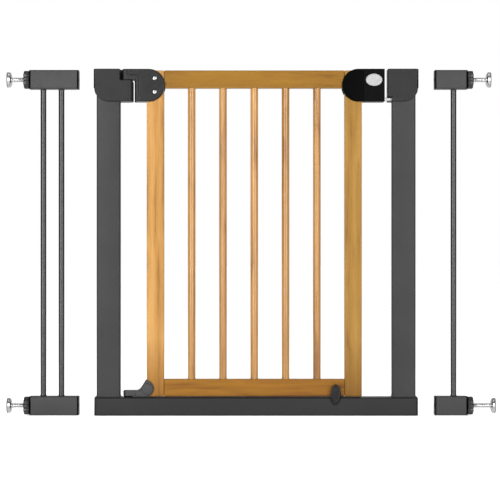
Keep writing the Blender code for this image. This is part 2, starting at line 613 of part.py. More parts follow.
def latch_button(button, finish):
    """An oval push button, kept in by a flange behind the housing's front wall."""
    front, inside = -LEAF_CAP_HALF_DEPTH - BUTTON_PROUD, -LEAF_CAP_HALF_DEPTH + MECHANISM_WALL + GAP
    middle = (BUTTON_X, BUTTON_Z)
    face = extruded(oval(middle, BUTTON_HALF_WIDTH, BUTTON_HALF_HEIGHT), "Y", front, inside + 0.001)
    flange = extruded(oval(middle, BUTTON_HALF_WIDTH + BUTTON_FLANGE, BUTTON_HALF_HEIGHT + BUTTON_FLANGE),
                      "Y", inside, inside + 0.002)
    piece = add_piece(face, "latch_button", button, finish)
    ease_edges(piece, 0.0008)
    cut(piece, add_cutter(flange, "button flange"), operation="UNION")
    smooth(piece, 30)


def latch_bolt(bolt, finish):
    """The sliding bolt, with a lever that stands up behind the button."""
    half = BOLT_DEPTH / 2
    low, high = BOLT_BOTTOM, BOLT_BOTTOM + BOLT_HEIGHT
    piece = add_piece(block((BOLT_LEFT, -half, low), (BOLT_TIP, half, high)), "latch_bolt", bolt, finish)
    lever = block((BOLT_LEFT + 0.001, -0.003, low + 0.001), (BOLT_LEFT + 0.006, 0.003, high + 0.022))
    cut(piece, add_cutter(lever, "bolt lever"), operation="UNION")


def latch_spring(bolt, finish):
    """A coil spring in the channel behind the bolt, drawn as a wire along a helix."""
    start, end = MECHANISM_LEFT + 0.001 + GAP + SPRING_WIRE / 2, BOLT_LEFT - GAP - SPRING_WIRE / 2
    middle = BOLT_BOTTOM + BOLT_HEIGHT / 2
    steps = SPRING_TURNS * 12
    points = []
    for i in range(steps + 1):
        angle = 2 * math.pi * SPRING_TURNS * i / steps
        points.append((start + (end - start) * i / steps, SPRING_RADIUS * math.cos(angle),
                       middle + SPRING_RADIUS * math.sin(angle)))
    curve = bpy.data.curves.new("latch_spring", "CURVE")
    curve.dimensions = "3D"
    curve.bevel_depth = SPRING_WIRE / 2
    curve.bevel_resolution = 1
    curve.use_fill_caps = True
    spline = curve.splines.new("POLY")
    spline.points.add(len(points) - 1)
    for point, place in zip(spline.points, points):
        point.co = (*(Vector(place) - bolt.location), 1.0)
    curve.materials.append(finish)
    spring = bpy.data.objects.new("latch_spring", curve)
    bpy.context.scene.collection.objects.link(spring)
    spring.parent = bolt


def door_stop(stop, leaf, finish, metal):
    """An oval stop on the bottom rail that laps in front of the bar, and turns up to clear it."""
    pivot, back = (STOP_X, STOP_PIVOT_Z), -STOP_BACK
    front = back - STOP_THICKNESS
    plate = extruded(oval((STOP_X, STOP_PIVOT_Z - STOP_DROP), STOP_HALF_WIDTH, STOP_HALF_HEIGHT, 28),
                     "Y", front, back)
    boss = rod(STOP_BOSS_RADIUS, pivot, "Y", back - 0.001, -WOOD_DEPTH / 2 - GAP)
    bore = rod(SCREW_SHANK_RADIUS + SLIP, pivot, "Y", front - 0.01, 0.0)
    sink = rod(SCREW_HEAD_RADIUS + SLIP, pivot, "Y", front - 0.01, front + 0.0025)
    piece = add_piece(plate, "door_stop", stop, finish)
    cut(piece, add_cutter(boss, "stop boss"), operation="UNION")
    cut(piece, add_cutter(bore, "stop bore"), add_cutter(sink, "stop sink"))
    smooth(piece, 30)
    end = WOOD_DEPTH / 2 - 0.004 - GAP
    profile = [(0, front), (SCREW_HEAD_RADIUS, front), (SCREW_HEAD_RADIUS, front + 0.0025 - GAP),
               (SCREW_SHANK_RADIUS, front + 0.0025 - GAP), (SCREW_SHANK_RADIUS, end), (0, end)]
    smooth(add_piece(turned(profile, pivot, "Y", 16), "door_stop_screw", leaf, metal))


# ---- Width extensions and wall fixings

def rail_section(inset=0.0, middle=0.0):
    half = Vector((RAIL_DEPTH / 2 - inset, RAIL_HEIGHT / 2 - inset))
    radius = max(RAIL_CORNER - inset, 0.001)
    return rounded_box((-half.x, middle - half.y), (half.x, middle + half.y), (radius,) * 4)


def extension_rail(name, low, high, middle, body, finish):
    mesh = hollow(rail_section(0, middle), rail_section(TUBE_WALL, middle), "X",
                  low + RAIL_CAP, high - RAIL_CAP)
    return smooth(add_piece(mesh, name, body, finish))


def rail_plug(name, end, side, middle, body, finish):
    """A plug in a rail's open end, bored for the spindle or for a joining stud."""
    face = end - side * RAIL_CAP
    flange = extruded(rail_section(0, middle), "X", face + side * GAP, end)
    spigot = extruded(rail_section(TUBE_WALL + GAP, middle), "X", face - side * 0.014, face + side * 0.001)
    bore = rod(SPINDLE_RADIUS + SLIP, (0, middle), "X", face - side * 0.03, end + side * 0.01)
    plug = add_piece(flange, name, body, finish)
    cut(plug, add_cutter(spigot, name + " spigot"), operation="UNION")
    cut(plug, add_cutter(bore, name + " bore"))
    return smooth(plug)


def upright(name, x, body, finish):
    """A round tube between the rails, flared at both ends where the weld runs round it."""
    low, high = RAIL_HEIGHT + GAP, EXTENSION_HEIGHT - RAIL_HEIGHT - GAP
    outer, inner = UPRIGHT_RADIUS, UPRIGHT_RADIUS - UPRIGHT_WALL
    flare = outer + WELD_FLARE
    profile = [(inner, low), (flare, low), (outer + 0.0006, low + 0.0016), (outer, low + 0.004),
               (outer, high - 0.004), (outer + 0.0006, high - 0.0016), (flare, high), (inner, high)]
    return smooth(add_piece(turned(profile, (x, 0), "Z", 16), name, body, finish))


def wheel_outline(middle):
    """A grip wheel's rim: shallow round ribs all the way round."""
    points = []
    steps = WHEEL_RIBS * 4
    for i in range(steps):
        angle = 2 * math.pi * i / steps
        radius = WHEEL_RADIUS - WHEEL_RIB_DEPTH * (0.5 - 0.5 * math.cos(WHEEL_RIBS * angle))
        points.append((radius * math.cos(angle), middle + radius * math.sin(angle)))
    return points


def wall_fixing(label, end, side, reach, middle, bodies, finishes):
    """A hand wheel that runs on a threaded spindle, whose domed foot presses a rubber pad on the wall."""
    near, far = end + side * GAP, end + side * (GAP + WHEEL_THICKNESS)
    bore = [(p[0], middle + p[1]) for p in oval((0, 0), SPINDLE_RADIUS + SLIP, SPINDLE_RADIUS + SLIP,
                                                WHEEL_RIBS * 4)]
    wheel = hollow(wheel_outline(middle), bore, "X", near, far)
    smooth(add_piece(wheel, f"{label}_wheel", bodies["wheel"], finishes["wheel"]), 50)
    neck = far + side * reach
    disc = neck + side * HEAD_DOME
    foot = disc + side * HEAD_THICKNESS
    tail = foot - side * (SPINDLE_LENGTH + HEAD_THICKNESS)
    dome = [(SPINDLE_RADIUS + (HEAD_RADIUS - SPINDLE_RADIUS) * math.sin(a),
             neck + side * HEAD_DOME * (1 - math.cos(a))) for a in
            [math.radians(22.5 * i) for i in range(5)]]
    profile = ([(0, tail), (SPINDLE_RADIUS - 0.001, tail), (SPINDLE_RADIUS, tail + side * 0.001)] + dome
               + [(HEAD_RADIUS, foot), (0, foot)])
    spindle = turned(profile, (0, middle), "X")
    smooth(add_piece(spindle, f"{label}_spindle", bodies["spindle"], finishes["spindle"]), 50)
    pad = [(0, foot + side * GAP), (HEAD_RADIUS, foot + side * GAP),
           (HEAD_RADIUS, foot + side * PAD_THICKNESS), (0, foot + side * PAD_THICKNESS)]
    smooth(add_piece(turned(pad, (0, middle), "X"), f"{label}_pad", bodies["spindle"], finishes["pad"]), 50)


def extension(label, ends, side, uprights, reaches, finishes):
    """One width extension; side is -1 for the left one. Its wall end is the far one from the gate."""
    low, high = ends
    wall_end, gate_end = (low, high) if side < 0 else (high, low)
    body = body_at(f"{label} extension body", (gate_end, 0, RAIL_MIDDLE["bottom"]))
    for level, middle in RAIL_MIDDLE.items():
        extension_rail(f"{label}_{level}_rail", low, high, middle, body, finishes["steel"])
        rail_plug(f"{label}_{level}_inner_plug", gate_end, -side, middle, body, finishes["plug"])
        rail_plug(f"{label}_{level}_outer_plug", wall_end, side, middle, body, finishes["plug"])
        bodies = {"wheel": body_at(f"{label} {level} wheel body", (wall_end, 0, middle)),
                  "spindle": body_at(f"{label} {level} spindle body", (wall_end, 0, middle))}
        wall_fixing(f"{label}_{level}", wall_end, side, reaches[level], middle, bodies, finishes)
    for number, x in enumerate(uprights, 1):
        name = f"{label}_upright_{number}" if len(uprights) > 1 else f"{label}_upright"
        upright(name, x, body, finishes["steel"])


def main():
    clear_scene()
    steel = finish_of("charcoal powder coat", (0.062, 0.062, 0.066), 0.55)
    cap = finish_of("grey satin plastic", (0.055, 0.055, 0.058), 0.45)
    latch = finish_of("black satin plastic", (0.012, 0.012, 0.013), 0.4)
    oval_grey = finish_of("pale grey plastic", (0.62, 0.62, 0.64), 0.4)
    wood = finish_of("honey varnish", (0.52, 0.27, 0.08), 0.4)
    bright = finish_of("chrome", (0.75, 0.75, 0.77), 0.15, 1.0)
    finishes = {"steel": steel, "plug": latch, "wheel": latch, "spindle": bright,
                "pad": finish_of("pale rubber", (0.45, 0.45, 0.46), 0.8)}

    frame = body_at("frame body")
    leaf = body_at("leaf body", (HINGE_X, 0, BAR_HEIGHT))
    button = body_at("button body", (BUTTON_X, -LEAF_CAP_HALF_DEPTH, BUTTON_Z))
    bolt = body_at("bolt body", (BOLT_LEFT, 0, BOLT_BOTTOM + BOLT_HEIGHT / 2))
    stop = body_at("door stop body", (STOP_X, -WOOD_DEPTH / 2, STOP_PIVOT_Z))

    frame_post("left_post", -1, frame, steel)
    frame_post("right_post", 1, frame, steel)
    bottom_bar(frame, steel)
    end_plug("bar_end_plug_left", -1, frame, cap)
    end_plug("bar_end_plug_right", 1, frame, cap)
    hinge_housing(frame, cap)
    keeper(frame, cap)
    lower_bush(frame, latch)

    holes = screw_holes()
    leaf_wood(leaf, wood, holes)
    moving_hinge(leaf, cap, bright, holes)
    upper_pin(leaf, bright)
    lower_bracket(leaf, cap, bright)
    latch_housing(leaf, latch)
    latch_button(button, oval_grey)
    latch_bolt(bolt, bright)
    latch_spring(bolt, bright)
    door_stop(stop, leaf, cap, bright)

    extension("left", LEFT_EXTENSION, -1, LEFT_UPRIGHTS, LEFT_REACH, finishes)
    extension("right", RIGHT_EXTENSION, 1, RIGHT_UPRIGHTS, RIGHT_REACH, finishes)


main()
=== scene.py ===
"""The looks of a pressure-fit safety gate with a wooden leaf and two width extensions."""
import math

import bmesh
import bpy
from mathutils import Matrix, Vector


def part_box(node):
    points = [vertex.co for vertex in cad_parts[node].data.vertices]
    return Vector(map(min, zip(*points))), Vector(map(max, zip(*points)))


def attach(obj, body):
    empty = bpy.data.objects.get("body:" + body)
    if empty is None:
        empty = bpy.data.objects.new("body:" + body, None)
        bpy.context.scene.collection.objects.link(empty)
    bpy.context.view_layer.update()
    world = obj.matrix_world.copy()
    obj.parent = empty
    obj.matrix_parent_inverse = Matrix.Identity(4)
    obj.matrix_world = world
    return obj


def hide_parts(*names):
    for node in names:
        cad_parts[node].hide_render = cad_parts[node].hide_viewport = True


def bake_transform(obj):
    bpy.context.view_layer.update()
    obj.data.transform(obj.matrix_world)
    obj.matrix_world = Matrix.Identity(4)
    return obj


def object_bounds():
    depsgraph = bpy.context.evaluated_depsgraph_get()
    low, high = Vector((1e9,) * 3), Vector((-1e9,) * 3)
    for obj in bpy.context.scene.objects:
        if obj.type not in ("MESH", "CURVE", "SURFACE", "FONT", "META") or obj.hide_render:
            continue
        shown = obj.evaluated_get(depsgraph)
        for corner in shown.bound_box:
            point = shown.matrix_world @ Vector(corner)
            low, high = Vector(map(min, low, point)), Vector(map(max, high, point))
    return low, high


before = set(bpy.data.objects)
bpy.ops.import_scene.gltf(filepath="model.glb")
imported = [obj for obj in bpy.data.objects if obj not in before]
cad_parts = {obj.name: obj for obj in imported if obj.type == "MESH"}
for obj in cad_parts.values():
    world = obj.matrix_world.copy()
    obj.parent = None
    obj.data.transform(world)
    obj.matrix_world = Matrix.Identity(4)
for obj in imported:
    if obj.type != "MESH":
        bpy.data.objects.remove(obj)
cad_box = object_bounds()


# ---- Camera, floor and light -----------------------------------------------------------------------
# A plain white floor under a sky that is white in front and behind, and grey at the sides and overhead.
# Two tall soft boxes in front and one overhead light the fronts, so the sides fall off and stay dark.

VIEW_DISTANCE = 3.2
VIEW_WIDTH = 1.091
VIEW_X, VIEW_Z = -0.0134, 0.3629
PAPER_WHITE = (0.93, 0.93, 0.93, 1.0)
FLOOR_HALF = 30.0
FLOOR_Z = -0.0005
SKY_SIDES = 0.40

view_middle = Vector((VIEW_X, cad_box[0][1], VIEW_Z))
camera_data = bpy.data.cameras.new("camera")
camera_data.sensor_width = 36.0
camera_data.lens = camera_data.sensor_width * VIEW_DISTANCE / VIEW_WIDTH
camera = bpy.data.objects.new("camera", camera_data)
camera.location = view_middle - Vector((0, VIEW_DISTANCE, 0))
camera.rotation_euler = (math.radians(90), 0, 0)
bpy.context.scene.collection.objects.link(camera)
bpy.context.scene.camera = camera


def paper_floor():
    """A wide sheet of white paper, a hair below the gate's feet."""
    data = bpy.data.meshes.new("paper floor")
    data.from_pydata([(x * FLOOR_HALF, y * FLOOR_HALF, FLOOR_Z)
                      for x, y in ((-1, -1), (1, -1), (1, 1), (-1, 1))], [], [(0, 1, 2, 3)])
    sheet = bpy.data.objects.new("paper floor", data)
    bpy.context.scene.collection.objects.link(sheet)
    paper = bpy.data.materials.new("white paper")
    paper.use_nodes = True
    shader = paper.node_tree.nodes["Principled BSDF"]
    shader.inputs["Base Color"].default_value = PAPER_WHITE
    shader.inputs["Roughness"].default_value = 0.9
    shader.inputs["Specular IOR Level"].default_value = 0.1
    shader.inputs["Emission Color"].default_value = PAPER_WHITE
    shader.inputs["Emission Strength"].default_value = 0.56
    data.materials.append(paper)


def soft_box(name, place, size, power):
    lamp = bpy.data.lights.new(name, "AREA")
    lamp.shape = "RECTANGLE"
    lamp.size, lamp.size_y = size
    lamp.energy = power
    obj = bpy.data.objects.new(name, lamp)
    obj.location = place
    aim = Vector((0, 0, 0.4)) - obj.location
    obj.rotation_euler = aim.to_track_quat("-Z", "Y").to_euler()
    bpy.context.scene.collection.objects.link(obj)


paper_floor()
soft_box("left soft box", (-1.5, -2.9, 1.0), (0.8, 2.0), 78)
soft_box("right soft box", (1.5, -2.9, 1.0), (0.8, 2.0), 60)
soft_box("top soft box", (0, -0.2, 3.0), (2.4, 1.4), 16)
world = bpy.data.worlds.new("studio")
world.use_nodes = True
sky = world.node_tree
heading = sky.nodes.new("ShaderNodeTexCoord")
parts = sky.nodes.new("ShaderNodeSeparateXYZ")
fronted = sky.nodes.new("ShaderNodeMath")
fronted.operation = "ABSOLUTE"
fall = sky.nodes.new("ShaderNodeMapRange")
fall.inputs["From Min"].default_value, fall.inputs["From Max"].default_value = 0.45, 0.93
fall.inputs["To Min"].default_value, fall.inputs["To Max"].default_value = SKY_SIDES, 1.0
sky.links.new(heading.outputs["Generated"], parts.inputs[0])
sky.links.new(parts.outputs["Y"], fronted.inputs[0])
sky.links.new(fronted.outputs[0], fall.inputs["Value"])
sky.links.new(fall.outputs[0], sky.nodes["Background"].inputs["Color"])
sky.nodes["Background"].inputs["Strength"].default_value = 1.0
bpy.context.scene.world = world
bpy.context.scene.view_settings.view_transform = "Standard"


# ---- Steel posts -----------------------------------------------------------------------------------
# Two rectangular steel tubes, charcoal powder coated, stand on the threshold bar. Each is welded all
# round its foot, and the weld shows under the coat as a small hollow fillet.

class Wire:
    """An output socket of a finish, so that maths on it reads as Python."""

    def __init__(self, finish, socket):
        self.finish = finish
        self.socket = socket

    def maths(self, operation, *values):
        return self.finish.node("Math", {"operation": operation}, dict(enumerate(values)))

    def __add__(self, other):
        return self.maths("ADD", self, other)

    def __sub__(self, other):
        return self.maths("SUBTRACT", self, other)

    def __mul__(self, other):
        return self.maths("MULTIPLY", self, other)


class Finish:
    """A material built round one Principled shader; keyword names set the shader's own sockets."""

    def __init__(self, name, **constants):
        self.material = bpy.data.materials.new(name)
        self.material.use_nodes = True
        self.tree = self.material.node_tree
        self.shader = self.tree.nodes["Principled BSDF"]
        for socket, value in constants.items():
            self.shader.inputs[socket.replace("_", " ")].default_value = value
        self.place = self.node("TexCoord", output="Object")

    def node(self, kind, settings=None, inputs=None, output=0):
        """Add any node: its settings first, then the values or links of its sockets."""
        made = self.tree.nodes.new("ShaderNode" + kind)
        for setting, value in (settings or {}).items():
            setattr(made, setting, value)
        for socket, value in (inputs or {}).items():
            self.join(value, made.inputs[socket])
        return Wire(self, made.outputs[output])

    def join(self, value, socket):
        if isinstance(value, Wire):
            self.tree.links.new(value.socket, socket)
        else:
            socket.default_value = value

    def feed(self, **links):
        for socket, wire in links.items():
            self.join(wire, self.shader.inputs[socket.replace("_", " ")])

    def stretched(self, stretch, shift):
        """Object coordinates, moved and then stretched by a factor along each axis."""
        moved = self.node("VectorMath", {"operation": "ADD"}, {0: self.place, 1: shift})
        return self.node("VectorMath", {"operation": "MULTIPLY"}, {0: moved, 1: stretch})

    def noise(self, scale, detail=3.0, roughness=0.5, where=None):
        inputs = {"Vector": where or self.place, "Scale": scale, "Detail": detail, "Roughness": roughness}
        return self.node("TexNoise", {}, inputs, "Fac")

    def blend(self, factor, first, second):
        """A colour between two others."""
        return self.node("Mix", {"data_type": "RGBA"}, {"Factor": factor, 6: first, 7: second}, 2)

    def stop(self, value, low, high):
        """A value from 0 at low to 1 at high."""
        return self.node("MapRange", {}, {"Value": value, "From Min": low, "From Max": high})

    def relief(self, height, depth, strength):
        """Feed the normal with a height from 0 to 1 that stands for this many metres."""
        bump = self.node("Bump", {}, {"Height": height, "Distance": depth, "Strength": strength})
        self.feed(Normal=bump)


def scaled(colour, factor):
    """A colour times a factor, as a shader takes it."""
    return (*(channel * factor for channel in colour), 1.0)


def powder_coat(name, colour, roughness, shine, peel_depth=0.00022):
    """Baked powder paint: orange peel a millimetre or two across, with a fine sand grain on it."""
    coat = Finish(name, Roughness=roughness, Specular_IOR_Level=shine)
    peel, sand = coat.noise(620, 2.0), coat.noise(2600, 2.0)
    cloud = coat.stop(coat.noise(9, 3.0), 0.35, 0.65)
    speck = coat.stop(sand, 0.42, 0.62)
    tone = coat.blend(cloud * 0.5 + speck * 0.5, scaled(colour, 0.84), scaled(colour, 1.2))
    coat.feed(Base_Color=tone,
              Roughness=coat.noise(45, 2.0) * 0.14 + (roughness - 0.07))
    coat.relief(peel * 0.65 + sand * 0.35, peel_depth, 0.55)
    return coat.material


def arc(centre, radius, start, end, steps):
    """Points along an arc, angles in degrees."""
    angles = [math.radians(start + (end - start) * i / steps) for i in range(steps + 1)]
    return [(centre[0] + radius * math.cos(a), centre[1] + radius * math.sin(a)) for a in angles]


def rounded_box(low, high, radius):
    """A rectangle with round corners, as a closed outline."""
    corners = ((high[0], low[1], 1, -1, 270), (high[0], high[1], 1, 1, 0),
               (low[0], high[1], -1, 1, 90), (low[0], low[1], -1, -1, 180))
    outline = []
    for x, y, side_x, side_y, start in corners:
        outline += arc((x - side_x * radius, y - side_y * radius), radius, start, start + 90, 6)
    return outline


def in_space(point, along, axis):
    """A point of an outline, at a place along the axis that crosses the outline's plane."""
    a, b = point
    return {"X": (along, a, b), "Y": (a, along, b), "Z": (a, b, along)}[axis]


def lofted(sections, axis, loop=False):
    """Closed outlines of the same number of points, each with its place along the axis, skinned."""
    mesh = bmesh.new()
    rings = [[mesh.verts.new(in_space(p, along, axis)) for p in outline] for outline, along in sections]
    for near, far in zip(rings, rings[1:] + (rings[:1] if loop else [])):
        for i, corner in enumerate(near):
            j = (i + 1) % len(near)
            mesh.faces.new((corner, near[j], far[j], far[i]))
    if not loop:
        mesh.faces.new(rings[0])
        mesh.faces.new(rings[-1])
    return mesh


def new_piece(name, mesh, material, angle=35):
    """A bmesh as an object, smooth but for edges sharper than the angle."""
    bmesh.ops.recalc_face_normals(mesh, faces=mesh.faces)
    data = bpy.data.meshes.new(name)
    mesh.to_mesh(data)
    mesh.free()
    data.shade_smooth()
    data.set_sharp_from_angle(angle=math.radians(angle))
    data.materials.append(material)
    piece = bpy.data.objects.new(name, data)
    bpy.context.scene.collection.objects.link(piece)
    return piece


def fit(piece, body, slot, *nodes):
    """The piece rides on a body and stands for its CAD nodes; the slot is not used."""
    if nodes:
        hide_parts(*nodes)
    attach(piece, body)


charcoal = powder_coat("charcoal powder coat", (0.021, 0.021, 0.0214), 0.5, 0.2)
POST_CORNER = 0.005
STEEL_WALL = 0.0015
TUBE_LIP = 0.0004
WELD_HEIGHT = 0.0045
WELD_SPREAD = 0.0045
WELD_BURY = 0.0002
WELD_STEPS = 5


def steel_tube(name, low, high, axis, corner, material):
    """An open rectangular tube between two corners of a box."""
    across = [i for i in range(3) if "XYZ"[i] != axis]
    start, end = low["XYZ".index(axis)], high["XYZ".index(axis)]
    flat_low, flat_high = ([box[i] for i in across] for box in (low, high))
    outer, eased, inner = (rounded_box([v + inset for v in flat_low], [v - inset for v in flat_high],
                                       max(corner - inset, 0.0008)) for inset in (0, TUBE_LIP, STEEL_WALL))
    sections = [(inner, start), (eased, start), (outer, start + TUBE_LIP), (outer, end - TUBE_LIP),
                (eased, end), (inner, end)]
    return new_piece(name, lofted(sections, axis, loop=True), material)


def foot_weld(name, low, high):
    """A hollow fillet round a post's foot, down onto the bar."""
    floor = low[2] - WELD_BURY
    sections = []
    for i in range(WELD_STEPS + 1):
        turn = math.radians(90 * i / WELD_STEPS)
        grow = WELD_SPREAD * (1 - math.sin(turn)) + WELD_BURY
        grow_y = grow * 0.7
        outline = rounded_box((low[0] - grow, low[1] - grow_y), (high[0] + grow, high[1] + grow_y),
                              POST_CORNER + grow_y)
        sections.append((outline, floor + WELD_HEIGHT * (1 - math.cos(turn))))
    inner = rounded_box((low[0] + 0.001, low[1] + 0.001), (high[0] - 0.001, high[1] - 0.001), POST_CORNER)
    sections += [(inner, floor + WELD_HEIGHT), (inner, floor)]
    return new_piece(name, lofted(sections, "Z", loop=True), charcoal, 50)


for side in ("left", "right"):
    low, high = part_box(f"{side}_post")
    fit(steel_tube(f"{side}_post_tube", low, high, "Z", POST_CORNER, charcoal), "frame", "frame_steel",
        f"{side}_post")
    fit(foot_weld(f"{side}_post_weld", low, high), "frame", "frame_steel")


# ---- Threshold bar and its end plugs ---------------------------------------------------------------
# A wider rectangular tube lies on the floor and joins the posts. A moulded plug closes each end, with
# a round socket for an extension's joining stud, and a flanged bush in its top takes the lower pin.

BAR_CORNER = 0.005
PLUG_FLANGE = 0.0037
PLUG_PLAY = 0.0003
SOCKET_RADIUS = 0.0054
BAR_HOLE = 0.0068
BUSH_BORE = 0.0044
BUSH_NECK = 0.0065


def centre_xz(node):
    """The middle of a node's box, as seen from the front."""
    low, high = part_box(node)
    return (low[0] + high[0]) / 2, (low[2] + high[2]) / 2


def settle(piece):
    """Write a piece's modifiers into its mesh."""
    graph = bpy.context.evaluated_depsgraph_get()
    made = bpy.data.meshes.new_from_object(piece.evaluated_get(graph))
    piece.modifiers.clear()
    piece.data = made


def carve(piece, *tools, operation="DIFFERENCE"):
    """Cut closed bmeshes out of a piece, or join them to it."""
    for mesh in tools:
        tool = new_piece(piece.name + "_tool", mesh, piece.data.materials[0])
        modifier = piece.modifiers.new("cut", "BOOLEAN")
        modifier.operation = operation
        modifier.object = tool
        settle(piece)
        bpy.data.objects.remove(tool, do_unlink=True)


def soften(piece, width, segments=3, seam=None):
    """Round a piece's sharp edges; those in the seam plane, a Y value, only a little."""
    mesh = bmesh.new()
    mesh.from_mesh(piece.data)
    bmesh.ops.remove_doubles(mesh, verts=mesh.verts, dist=2e-6)
    bmesh.ops.dissolve_limit(mesh, angle_limit=math.radians(0.5), verts=mesh.verts, edges=mesh.edges)
    weight = mesh.edges.layers.float.new("bevel_weight_edge")
    for edge in mesh.edges:
        if len(edge.link_faces) == 2 and edge.calc_face_angle() > math.radians(50):
            in_seam = seam is not None and all(abs(v.co.y - seam) < 1e-5 for v in edge.verts)
            edge[weight] = 0.3 if in_seam else 1.0
    mesh.to_mesh(piece.data)
    mesh.free()
    bevel = piece.modifiers.new("soft edges", "BEVEL")
    bevel.width = width
    bevel.segments = segments
    bevel.limit_method = "WEIGHT"
    bevel.use_clamp_overlap = False
    settle(piece)
    dress(piece)


def dress(piece):
    """Shade a piece smooth, with its flat faces kept flat."""
    piece.data.shade_smooth()
    piece.data.set_sharp_from_angle(angle=math.radians(40))
    normals = piece.modifiers.new("flat faces", "WEIGHTED_NORMAL")
    normals.keep_sharp = True
    settle(piece)


def oval(centre, half_width, half_height, steps=64):
    angles = [2 * math.pi * i / steps for i in range(steps)]
    return [(centre[0] + half_width * math.cos(a), centre[1] + half_height * math.sin(a)) for a in angles]


def turned(profile, centre, axis, steps=48):
    """A closed profile of (radius, place along the axis), turned about the axis."""
    mesh, rings = bmesh.new(), []
    for radius, along in profile:
        outline = oval(centre, radius, radius, steps) if radius > 1e-7 else [centre]
        rings.append([mesh.verts.new(in_space(point, along, axis)) for point in outline])
    for near, far in zip(rings, rings[1:] + rings[:1]):
        for i in range(steps):
            j = (i + 1) % steps
            corners = [near[i % len(near)], near[j % len(near)], far[j % len(far)], far[i % len(far)]]
            corners = list(dict.fromkeys(corners))
            if len(corners) > 2:
                mesh.faces.new(corners)
    return mesh


def rod(radius, centre, axis, start, end, steps=48):
    return turned([(0, start), (radius, start), (radius, end), (0, end)], centre, axis, steps)


def slab(outline, axis, start, end):
    return lofted([(outline, start), (outline, end)], axis)


def box_tool(low, high):
    corners = [(low[0], low[1]), (high[0], low[1]), (high[0], high[1]), (low[0], high[1])]
    return slab(corners, "Z", low[2], high[2])


def moulded_plastic(name, colour, roughness, shine):
    """Moulded plastic with the fine spark-eroded grain of its mould and a few soft flow marks."""
    plastic = Finish(name, Roughness=roughness, Specular_IOR_Level=shine)
    grit, flow = plastic.noise(3200, 2.0), plastic.noise(28, 3.0, 0.6)
    # Sharp convex edges are made lighter, found by pointiness.
    sharp_edges = plastic.stop(plastic.node("NewGeometry", output="Pointiness"), 0.51, 0.57)
    tone = plastic.blend(plastic.stop(flow, 0.35, 0.68), scaled(colour, 0.86), scaled(colour, 1.15))
    plastic.feed(Base_Color=plastic.blend(sharp_edges * 0.25, tone, scaled(colour, 2.0)),
                 Roughness=flow * 0.12 + grit * 0.08 + (roughness - 0.1))
    plastic.relief(grit * 0.8 + plastic.noise(900, 2.0) * 0.2, 0.00012, 0.5)
    return plastic.material


grey_plastic = moulded_plastic("charcoal cap plastic", (0.0098, 0.0098, 0.0100), 0.42, 0.15)
black_plastic = moulded_plastic("black moulded plastic", (0.0006, 0.0006, 0.0006), 0.36, 0.02)
# The bar has the posts' charcoal coat, made darker as painted shade for the dimmer light low down by the
# floor.
shaded_charcoal_coat = powder_coat("charcoal powder coat with painted shade", (0.0105, 0.0105, 0.0108), 0.5, 0.2)
low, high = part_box("bottom_bar")
bar = steel_tube("threshold_bar", low, high, "X", BAR_CORNER, shaded_charcoal_coat)
hinge_x = centre_xz("lower_hinge_pin")[0]
carve(bar, rod(BAR_HOLE, (hinge_x, 0), "Z", (low[2] + high[2]) / 2, high[2] + 0.01))
dress(bar)
fit(bar, "frame", "frame_steel", "bottom_bar")

for side, sign in (("left", -1), ("right", 1)):
    node = f"bar_end_plug_{side}"
    low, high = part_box(node)
    face = low[0] if sign < 0 else high[0]
    seat = face - sign * PLUG_FLANGE
    plug = new_piece(f"{side}_bar_plug", slab(rounded_box(low[1:], high[1:], BAR_CORNER), "X", seat, face),
                     grey_plastic)
    soften(plug, 0.0012)
    inset = STEEL_WALL + PLUG_PLAY
    spigot = slab(rounded_box([v + inset for v in low[1:]], [v - inset for v in high[1:]], 0.003), "X",
                  low[0] if sign > 0 else high[0], seat + sign * 0.0015)
    carve(plug, spigot, operation="UNION")
    carve(plug, rod(SOCKET_RADIUS, (0, centre_xz("left_bottom_rail")[1]), "X", face - sign * 0.020,
                    face + sign * 0.01))
    dress(plug)
    fit(plug, "frame", "cap_plastic", node)

low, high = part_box("lower_hinge_bush")
flange_radius = (high[0] - low[0]) / 2
ease = 0.0004
bush_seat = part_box("bottom_bar")[1][2] + 0.0003
bush_profile = [(BUSH_BORE, low[2]), (BUSH_NECK - ease, low[2]), (BUSH_NECK, low[2] + ease),
                (BUSH_NECK, bush_seat), (flange_radius, bush_seat), (flange_radius, high[2] - ease),
                (flange_radius - ease, high[2]), (BUSH_BORE + 0.0005, high[2]),
                (BUSH_BORE, high[2] - 0.0005)]
fit(new_piece("lower_bush", turned(bush_profile, (hinge_x, 0), "Z"), black_plastic), "frame",
    "black_plastic", "lower_hinge_bush")


# ---- Caps on the post heads ------------------------------------------------------------------------
# Two moulded shells, front and rear, are screwed together round each post's head. The left pair holds
# the fixed knuckle of the upper hinge, and the right pair is the keeper for the latch's bolt.

EDGE = 0.0018
CAP_STEP = 0.030
POST_GAP = 0.0003
SINK_RADIUS = 0.0036
SINK_DEPTH = 0.0016
PIN_BORE = 0.0043
SHOULDER_ROUND = 0.006
KNUCKLE_HEIGHT = 0.0245
HOUSING_SCREWS = [(-0.3445, 0.748), (-0.3445, 0.716), (-0.290, 0.700)]
KEEPER_SCREWS = [(0.3445, 0.748), (0.3445, 0.716), (0.300, 0.748)]


def cap_outline(inner_x, outer_x, low_z, high_z):
    """Front view of a post cap: a flat outer side, a small step, then a curve in to its underside."""
    sign = 1 if outer_x > inner_x else -1
    step_z = low_z + CAP_STEP
    curve = [(outer_x - sign * (0.0015 + 0.034 * (1 - math.cos(a))), step_z - 0.0015 - 0.0285 * math.sin(a))
             for a in [math.radians(90) * i / 16 for i in range(17)]]
    return [(inner_x, high_z), (outer_x, high_z), (outer_x, step_z)] + curve + [(inner_x, low_z)]


def rounded_plan(low, high, left, right):
    """Plan view of a shell pair, with the radii of its left and right ends."""
    return (arc((high[0] - right, low[1] + right), right, 270, 360, 8)
            + arc((high[0] - right, high[1] - right), right, 0, 90, 8)
            + arc((low[0] + left, high[1] - left), left, 90, 180, 8)
            + arc((low[0] + left, low[1] + left), left, 180, 270, 8))


